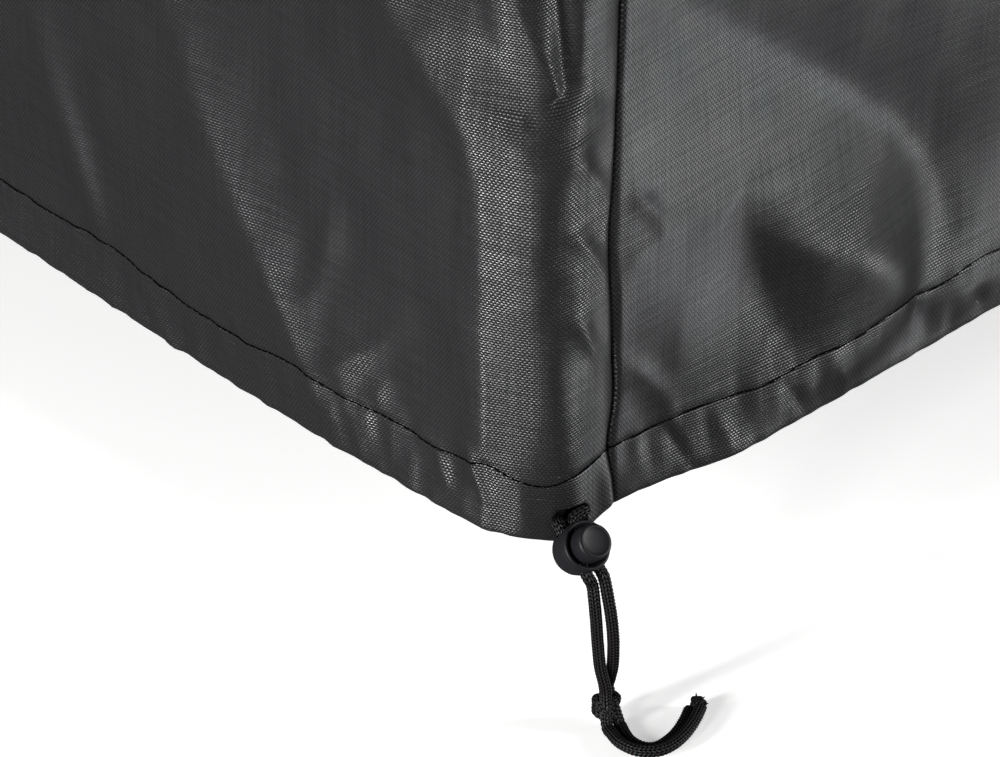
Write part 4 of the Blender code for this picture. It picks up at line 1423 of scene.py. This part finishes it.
# ---------------------------------------------------------------- cords
def smooth_route(route, step):
    """Points about a step apart on a smooth curve through the route."""
    route = [Vector(p) for p in route]
    ends = [2 * route[0] - route[1]] + route + [2 * route[-1] - route[-2]]
    fine = []
    for a, b, c, d in zip(ends, ends[1:], ends[2:], ends[3:]):
        for k in range(24):
            t = k / 24
            bend = (2 * a - 5 * b + 4 * c - d) * t * t + (3 * b - a - 3 * c + d) * t**3
            fine.append(0.5 * (2 * b + (c - a) * t + bend))
    fine.append(route[-1])
    lengths = np.cumsum([0.0] + [(b - a).length for a, b in zip(fine, fine[1:])])
    count = max(2, round(lengths[-1] / step) + 1)
    spots = np.linspace(0.0, lengths[-1], count)
    return np.stack([np.interp(spots, lengths, [p[k] for p in fine]) for k in range(3)], -1)


def carried_frames(points):
    """Two unit vectors across each point of a route, turned as little as possible from one to the next."""
    ahead = np.gradient(points, axis=0)
    ahead /= np.linalg.norm(ahead, axis=1, keepdims=True)
    first = np.cross(ahead[0], (0.31, 0.77, 0.56))
    first /= np.linalg.norm(first)
    across = [first]
    for direction in ahead[1:]:
        turned = across[-1] - direction * np.dot(across[-1], direction)
        across.append(turned / np.linalg.norm(turned))
    across = np.asarray(across)
    return across, np.cross(ahead, across)


def rings_across(across, over, turn):
    """The way from a route's middle line to each point of a round ring about it."""
    return np.cos(turn)[None, :, None] * across[:, None, :] + np.sin(turn)[None, :, None] * over[:, None, :]


def braid_points(route, radius, pitch):
    """A round braid's middle line along a route, its surface, and each point's place on it. Each plait is a
    raised oval that slants the other way from its neighbours round the cord, which makes rows of V shapes."""
    line = smooth_route(route, BRAID_STEP)
    line[:, 2] = np.maximum(line[:, 2], radius - DROP - GROUND)  # it lies on the floor, not in it
    across, over = carried_frames(line)
    length = np.concatenate([[0.0], np.cumsum(np.linalg.norm(np.diff(line, axis=0), axis=1))])
    turn = 2 * np.pi * (np.arange(BRAID_AROUND) + 0.25) / BRAID_AROUND
    position = turn * BRAID_PLAITS / (2 * np.pi)
    share = position % 1.0
    slant = np.where(np.floor(position) % 2 == 0, 1.0, -1.0)
    phase = length[:, None] / pitch + (slant * (share - 0.5) * BRAID_LEAN)[None, :]
    plait = np.abs(np.sin(np.pi * phase)) ** 0.7 * (np.sin(np.pi * share) ** 0.6)[None, :]
    size = radius * (BRAID_VALLEY + BRAID_RISE * plait)
    points = line[:, None, :] + rings_across(across, over, turn) * size[..., None]
    around = turn[None, :] * radius + slant[None, :] * length[:, None] * FILAMENT_SLANT
    at = np.stack(np.broadcast_arrays(around, length[:, None], plait), -1)
    return line, points, at


def capped_tube(points):
    """A tube with a fan at each end, from its rings of points: (points, faces)."""
    count, size = points.shape[:2]
    faces = grid_faces(count, size, closed=True)
    flat = points.reshape(-1, 3)
    for first, way in ((0, -1), ((count - 1) * size, 1)):
        middle = len(flat)
        flat = np.concatenate([flat, [flat[first : first + size].mean(axis=0)]])
        for j in range(size):
            k = (j + 1) % size
            faces.append((first + j, first + k, middle)[::way])
    return flat, faces


def joined(parts):
    """Several (points, faces, places) as one."""
    points = []
    faces = []
    places = []
    total = 0
    for spots, quads, at in parts:
        faces += [tuple(total + k for k in face) for face in quads]
        points.append(spots)
        places.append(at)
        total += len(spots)
    return np.concatenate(points), faces, np.concatenate(places)


def braid_part(route, radius, pitch):
    """A length of braid with closed ends: (middle line, (points, faces, places))."""
    line, points, at = braid_points(route, radius, pitch)
    flat, faces = capped_tube(points)
    at = np.concatenate([at.reshape(-1, 3), np.zeros((2, 3))])
    return line, (flat, faces, at)


def cord_route(side, inside, below):
    """One cord from the channel through the buttonhole, the lock and the knot to its end on the floor. side
    is -1 for the front cord, which becomes the outer one of the pair on the floor."""
    route = []
    for walk, height, depth in inside:
        route.append(Vector(place(PAIR_WALK + walk / 1000, height / 1000, depth / 1000).reshape(3)))
    middle = LOCK_CENTRE + LOCK_ACROSS * (side * LOCK_PITCH / 2)
    for distance in LOCK_STATIONS:
        route.append(middle + LOCK_THROUGH * distance)
    route += [corner_point(*row) for row in below]
    return route + tail_route(-side)


def tail_route(side):
    """One cord of the pair on the ground. side is 1 for the outer one, which leans on the other."""
    middles = [Vector((x, y, 0.0)) for x, y, lean in TAIL]
    route = []
    for k, (x, y, lean) in enumerate(TAIL):
        ahead = middles[min(k + 1, len(TAIL) - 1)] - middles[max(k - 1, 0)]
        away = Vector((ahead.y, -ahead.x, 0.0)).normalized()
        reach = PAIR_PITCH * 500
        height = CORD * 1000 - GROUND * 1000 + reach * math.sin(math.radians(lean)) * (1 + side)
        spot = middles[k] + away * (side * reach * math.cos(math.radians(lean)))
        route.append(corner_point(spot.x, spot.y, height))
    return route


def knot_part(pitch):
    """The overhand knot that ties both cords: two turns round them and a bight across the front."""
    centre = corner_point(*KNOT_CENTRE)
    parts = []
    side = Vector((CAMERA_RIGHT.x, CAMERA_RIGHT.y, 0.0)).normalized()
    front = Vector((side.y, -side.x, 0.0))
    up = Vector((0.0, 0.0, 1.0))
    for lift, tilt, wide, deep in KNOT_LOOPS:
        lean = math.radians(tilt)
        along = side * math.cos(lean) + up * math.sin(lean)
        route = []
        for k in range(15):
            angle = 2 * math.pi * k / 14 + 0.4
            spot = along * (wide * math.cos(angle)) + front * (deep * math.sin(angle)) + up * lift
            route.append(centre + spot / 1000)
        parts.append(braid_part(route, KNOT_LOOP_CORD / 1000, pitch)[1])
    bight = []
    for across, out, lift in KNOT_BIGHT:
        bight.append(centre + (side * across + front * out + up * lift) / 1000)
    parts.append(braid_part(bight, KNOT_BIGHT_CORD / 1000, pitch)[1])
    return joined(parts)


def tip_points():
    """The two cord ends melted into one lump, with the whiskers that the melting drew out."""
    shape = bmesh.new()
    bmesh.ops.create_icosphere(shape, subdivisions=4, radius=1.0)
    for spot in shape.verts:
        p = spot.co.copy()
        lump = 0.12 * math.sin(5.1 * p.x + 1.3) * math.sin(4.3 * p.y) + 0.10 * math.sin(6.7 * p.z + 3 * p.x)
        fine = 0.035 * math.sin(17 * p.x + 9 * p.y) * math.sin(15 * p.z - 8 * p.y)
        spot.co = p * (TIP_SIZE / 1000 * (1 + lump + fine))
    bmesh.ops.triangulate(shape, faces=shape.faces)
    shape.verts.ensure_lookup_table()
    centre = np.asarray(corner_point(*TIP_CENTRE))
    points = np.asarray([tuple(spot.co) for spot in shape.verts]) * (1.1, 1.0, 1.0) + centre
    faces = [tuple(spot.index for spot in face.verts) for face in shape.faces]
    shape.free()
    parts = [(points, faces, np.full((len(points), 3), 0.5))]
    for direction, length, width in WHISKERS:
        way = Vector(direction).normalized()
        bend = way.cross(Vector((0.0, 0.3, 1.0))).normalized()
        route = []
        for t in (0.2, 0.45, 0.7, 0.9, 1.05):
            route.append(Vector(centre) + (way * (length * t) + bend * (WHISKER_BEND * t * t)) / 1000)
        line = smooth_route(route, 0.0003)
        across, over = carried_frames(line)
        turn = 2 * np.pi * np.arange(10) / 10
        size = width / 1000 * (1 - 0.85 * np.linspace(0, 1, len(line)) ** 1.5)
        rings = line[:, None, :] + rings_across(across, over, turn) * size[:, None, None]
        flat, quads = capped_tube(rings)
        parts.append((flat, quads, np.full((len(flat), 3), 0.5)))
    return joined(parts)


class COVER_OT_cords(bpy.types.Operator):
    """Makes the two braided cord ends with their knot and melted tip"""

    bl_idname = "cover.cords"
    bl_label = "Cords"

    def execute(self, context):
        pitch = context.scene.cover_sizes.braid_pitch
        cord = material_of("braided polyester cord")
        points, faces, at = knot_part(pitch)
        knot = mesh_object("cord_knot_braid", points, faces, cord, at, "braid_at")
        ride(knot, "cover", "cord", "cord_knot")
        points, faces, at = tip_points()
        tip = mesh_object("cord_tip_melted", points, faces, cord, at, "braid_at")
        ride(tip, "cover", "cord", "cord_tip")
        for side, inside, below, name in (
            (-1, INSIDE_FRONT, STRAND_FRONT, "front"),
            (1, INSIDE_REAR, STRAND_REAR, "rear"),
        ):
            line, (points, faces, at) = braid_part(cord_route(side, inside, below), CORD * BRAID_SWELL, pitch)
            obj = mesh_object("cord_" + name, points, faces, cord, at, "braid_at")
            ride(obj, "cover", "cord", "strand_" + name, "tail_" + name)
        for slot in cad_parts["drawcord"].material_slots:
            slot.material = cord
        return {"FINISHED"}


# ---------------------------------------------------------------- the cord lock
def turned_part(name, profile):
    """A solid turned from (radius, height) pairs that begin and end on its axis, set on the lock's axis."""
    shape = bmesh.new()
    spots = [shape.verts.new((radius / 1000, 0.0, height / 1000)) for radius, height in profile]
    edges = [shape.edges.new(pair) for pair in zip(spots, spots[1:])]
    bmesh.ops.spin(shape, geom=spots + edges, axis=(0, 0, 1), steps=LATHE_STEPS, angle=2 * math.pi)
    bmesh.ops.remove_doubles(shape, verts=shape.verts, dist=0.00001)
    bmesh.ops.recalc_face_normals(shape, faces=shape.faces)
    turn = Matrix((LOCK_THROUGH, LOCK_ACROSS, LOCK_AXIS)).transposed().to_4x4()
    turn.translation = LOCK_CENTRE - LOCK_AXIS * LOCK_HOLE_AT
    shape.transform(turn)
    mesh = bpy.data.meshes.new(name)
    shape.to_mesh(mesh)
    shape.free()
    mesh.materials.append(material_of("moulded acetal"))
    obj = bpy.data.objects.new(name, mesh)
    bpy.context.scene.collection.objects.link(obj)
    return obj


def bored(obj, centre, wide, tall, rounding):
    """Cuts the cords' hole across a part of the lock."""
    rings = []
    for end in (-LOCK_CUT / 2, LOCK_CUT / 2):
        ring = []
        for k in range(40):
            angle = 2 * math.pi * (k + 0.5) / 40
            x = math.cos(angle) * rounding + math.copysign(wide / 2 - rounding, math.cos(angle))
            y = math.sin(angle) * rounding + math.copysign(tall / 2 - rounding, math.sin(angle))
            ring.append(tuple(centre + LOCK_ACROSS * x + LOCK_AXIS * y + LOCK_THROUGH * end))
        rings.append(ring)
    points, faces = capped_tube(np.asarray(rings))
    cutter = mesh_object("lock_cutter", points, faces, material_of("moulded acetal"))
    shape = bmesh.new()
    shape.from_mesh(cutter.data)
    bmesh.ops.recalc_face_normals(shape, faces=shape.faces)
    shape.to_mesh(cutter.data)
    shape.free()
    modifier = obj.modifiers.new("hole", "BOOLEAN")
    modifier.operation = "DIFFERENCE"
    modifier.solver = "EXACT"
    modifier.object = cutter
    settle(obj)
    bpy.data.objects.remove(cutter)
    obj.data.shade_smooth()
    obj.data.set_sharp_from_angle(angle=math.radians(50))


class COVER_OT_lock(bpy.types.Operator):
    """Makes the cord lock's barrel and its push button"""

    bl_idname = "cover.lock"
    bl_label = "Cord lock"

    def execute(self, context):
        barrel = turned_part("lock_barrel", BARREL_PROFILE)
        bored(barrel, LOCK_CENTRE, HOLE_WIDE, HOLE_TALL, HOLE_ROUNDING)
        ride(barrel, "cover", "plastic", "cord_lock_barrel")
        button = turned_part("lock_plunger", PLUNGER_PROFILE)
        bored(button, LOCK_CENTRE + LOCK_AXIS * (PRESS / 2), HOLE_WIDE, HOLE_TALL + PRESS, SLOT_ROUNDING)
        ride(button, "lock_button", "plastic", "cord_lock_plunger")
        return {"FINISHED"}


# ---------------------------------------------------------------- stage
def area_light(name, azimuth, elevation, distance, width, height, power):
    """A soft box aimed at the cords' corner."""
    data = bpy.data.lights.new(name, "AREA")
    data.shape = "RECTANGLE"
    data.size = width
    data.size_y = height
    data.energy = power
    obj = bpy.data.objects.new(name, data)
    turn = math.radians(azimuth)
    rise = math.radians(elevation)
    way = Vector((math.sin(turn) * math.cos(rise), -math.cos(turn) * math.cos(rise), math.sin(rise)))
    obj.location = LIGHT_AIM + way * distance
    obj.rotation_euler = (-way).to_track_quat("-Z", "Y").to_euler()
    bpy.context.scene.collection.objects.link(obj)


class COVER_OT_camera(bpy.types.Operator):
    """Makes the camera at the photographed angle"""

    bl_idname = "cover.camera"
    bl_label = "Camera"

    def execute(self, context):
        data = bpy.data.cameras.new("camera")
        data.sensor_width = 36
        data.lens = CAMERA_LENS
        obj = bpy.data.objects.new("camera", data)
        place_at = Matrix((CAMERA_RIGHT, CAMERA_UP, CAMERA_BACK)).transposed().to_4x4()
        place_at.translation = CAMERA_AT
        obj.matrix_world = place_at
        context.scene.collection.objects.link(obj)
        context.scene.camera = obj
        return {"FINISHED"}


class COVER_OT_stage(bpy.types.Operator):
    """Makes the pale floor and the studio lights"""

    bl_idname = "cover.stage"
    bl_label = "Stage"

    def execute(self, context):
        square = ((-1, -1), (1, -1), (1, 1), (-1, 1))
        corners = [(x * FLOOR_REACH, y * FLOOR_REACH, -DROP - GROUND) for x, y in square]
        floor = mesh_object("floor", corners, [(0, 1, 2, 3)], material_of("opal acrylic"))
        floor.visible_glossy = False  # the cloth mirrors the soft boxes only
        for light in LIGHTS:
            area_light(*light)
        world = bpy.data.worlds.new("studio")
        context.scene.world = world
        world.use_nodes = True
        background = world.node_tree.nodes["Background"]
        background.inputs["Color"].default_value = (1.0, 1.0, 1.0, 1.0)
        background.inputs["Strength"].default_value = AMBIENT
        context.scene.view_settings.view_transform = "Standard"
        return {"FINISHED"}


class COVER_PT_pieces(bpy.types.Panel):
    bl_idname = "COVER_PT_pieces"
    bl_label = "Fitted cover"
    bl_space_type = "VIEW_3D"
    bl_region_type = "UI"
    bl_category = "Cover"

    def draw(self, context):
        for group in (context.scene.cover_sizes, context.scene.cover_colours):
            box = self.layout.box()
            for name in group.bl_rna.properties.keys():
                if name not in ("rna_type", "name"):
                    box.prop(group, name)
        for operator in OPERATORS:
            self.layout.operator(operator.bl_idname)


OPERATORS = (
    COVER_OT_camera,
    COVER_OT_cords,
    COVER_OT_walls,
    COVER_OT_top,
    COVER_OT_stitches,
    COVER_OT_lock,
    COVER_OT_stage,
)
CLASSES = (CoverSizes, CoverColours, *OPERATORS, COVER_PT_pieces)


def register():
    for cls in CLASSES:
        bpy.utils.register_class(cls)
    bpy.types.Scene.cover_sizes = bpy.props.PointerProperty(type=CoverSizes)
    bpy.types.Scene.cover_colours = bpy.props.PointerProperty(type=CoverColours)


def unregister():
    del bpy.types.Scene.cover_colours
    del bpy.types.Scene.cover_sizes
    for cls in reversed(CLASSES):
        bpy.utils.unregister_class(cls)


def main():
    register()
    bpy.ops.cover.camera()
    bpy.ops.cover.cords()
    bpy.ops.cover.walls()
    bpy.ops.cover.top()
    bpy.ops.cover.stitches()
    bpy.ops.cover.lock()
    bpy.ops.cover.stage()


if __name__ == "__main__":
    main()
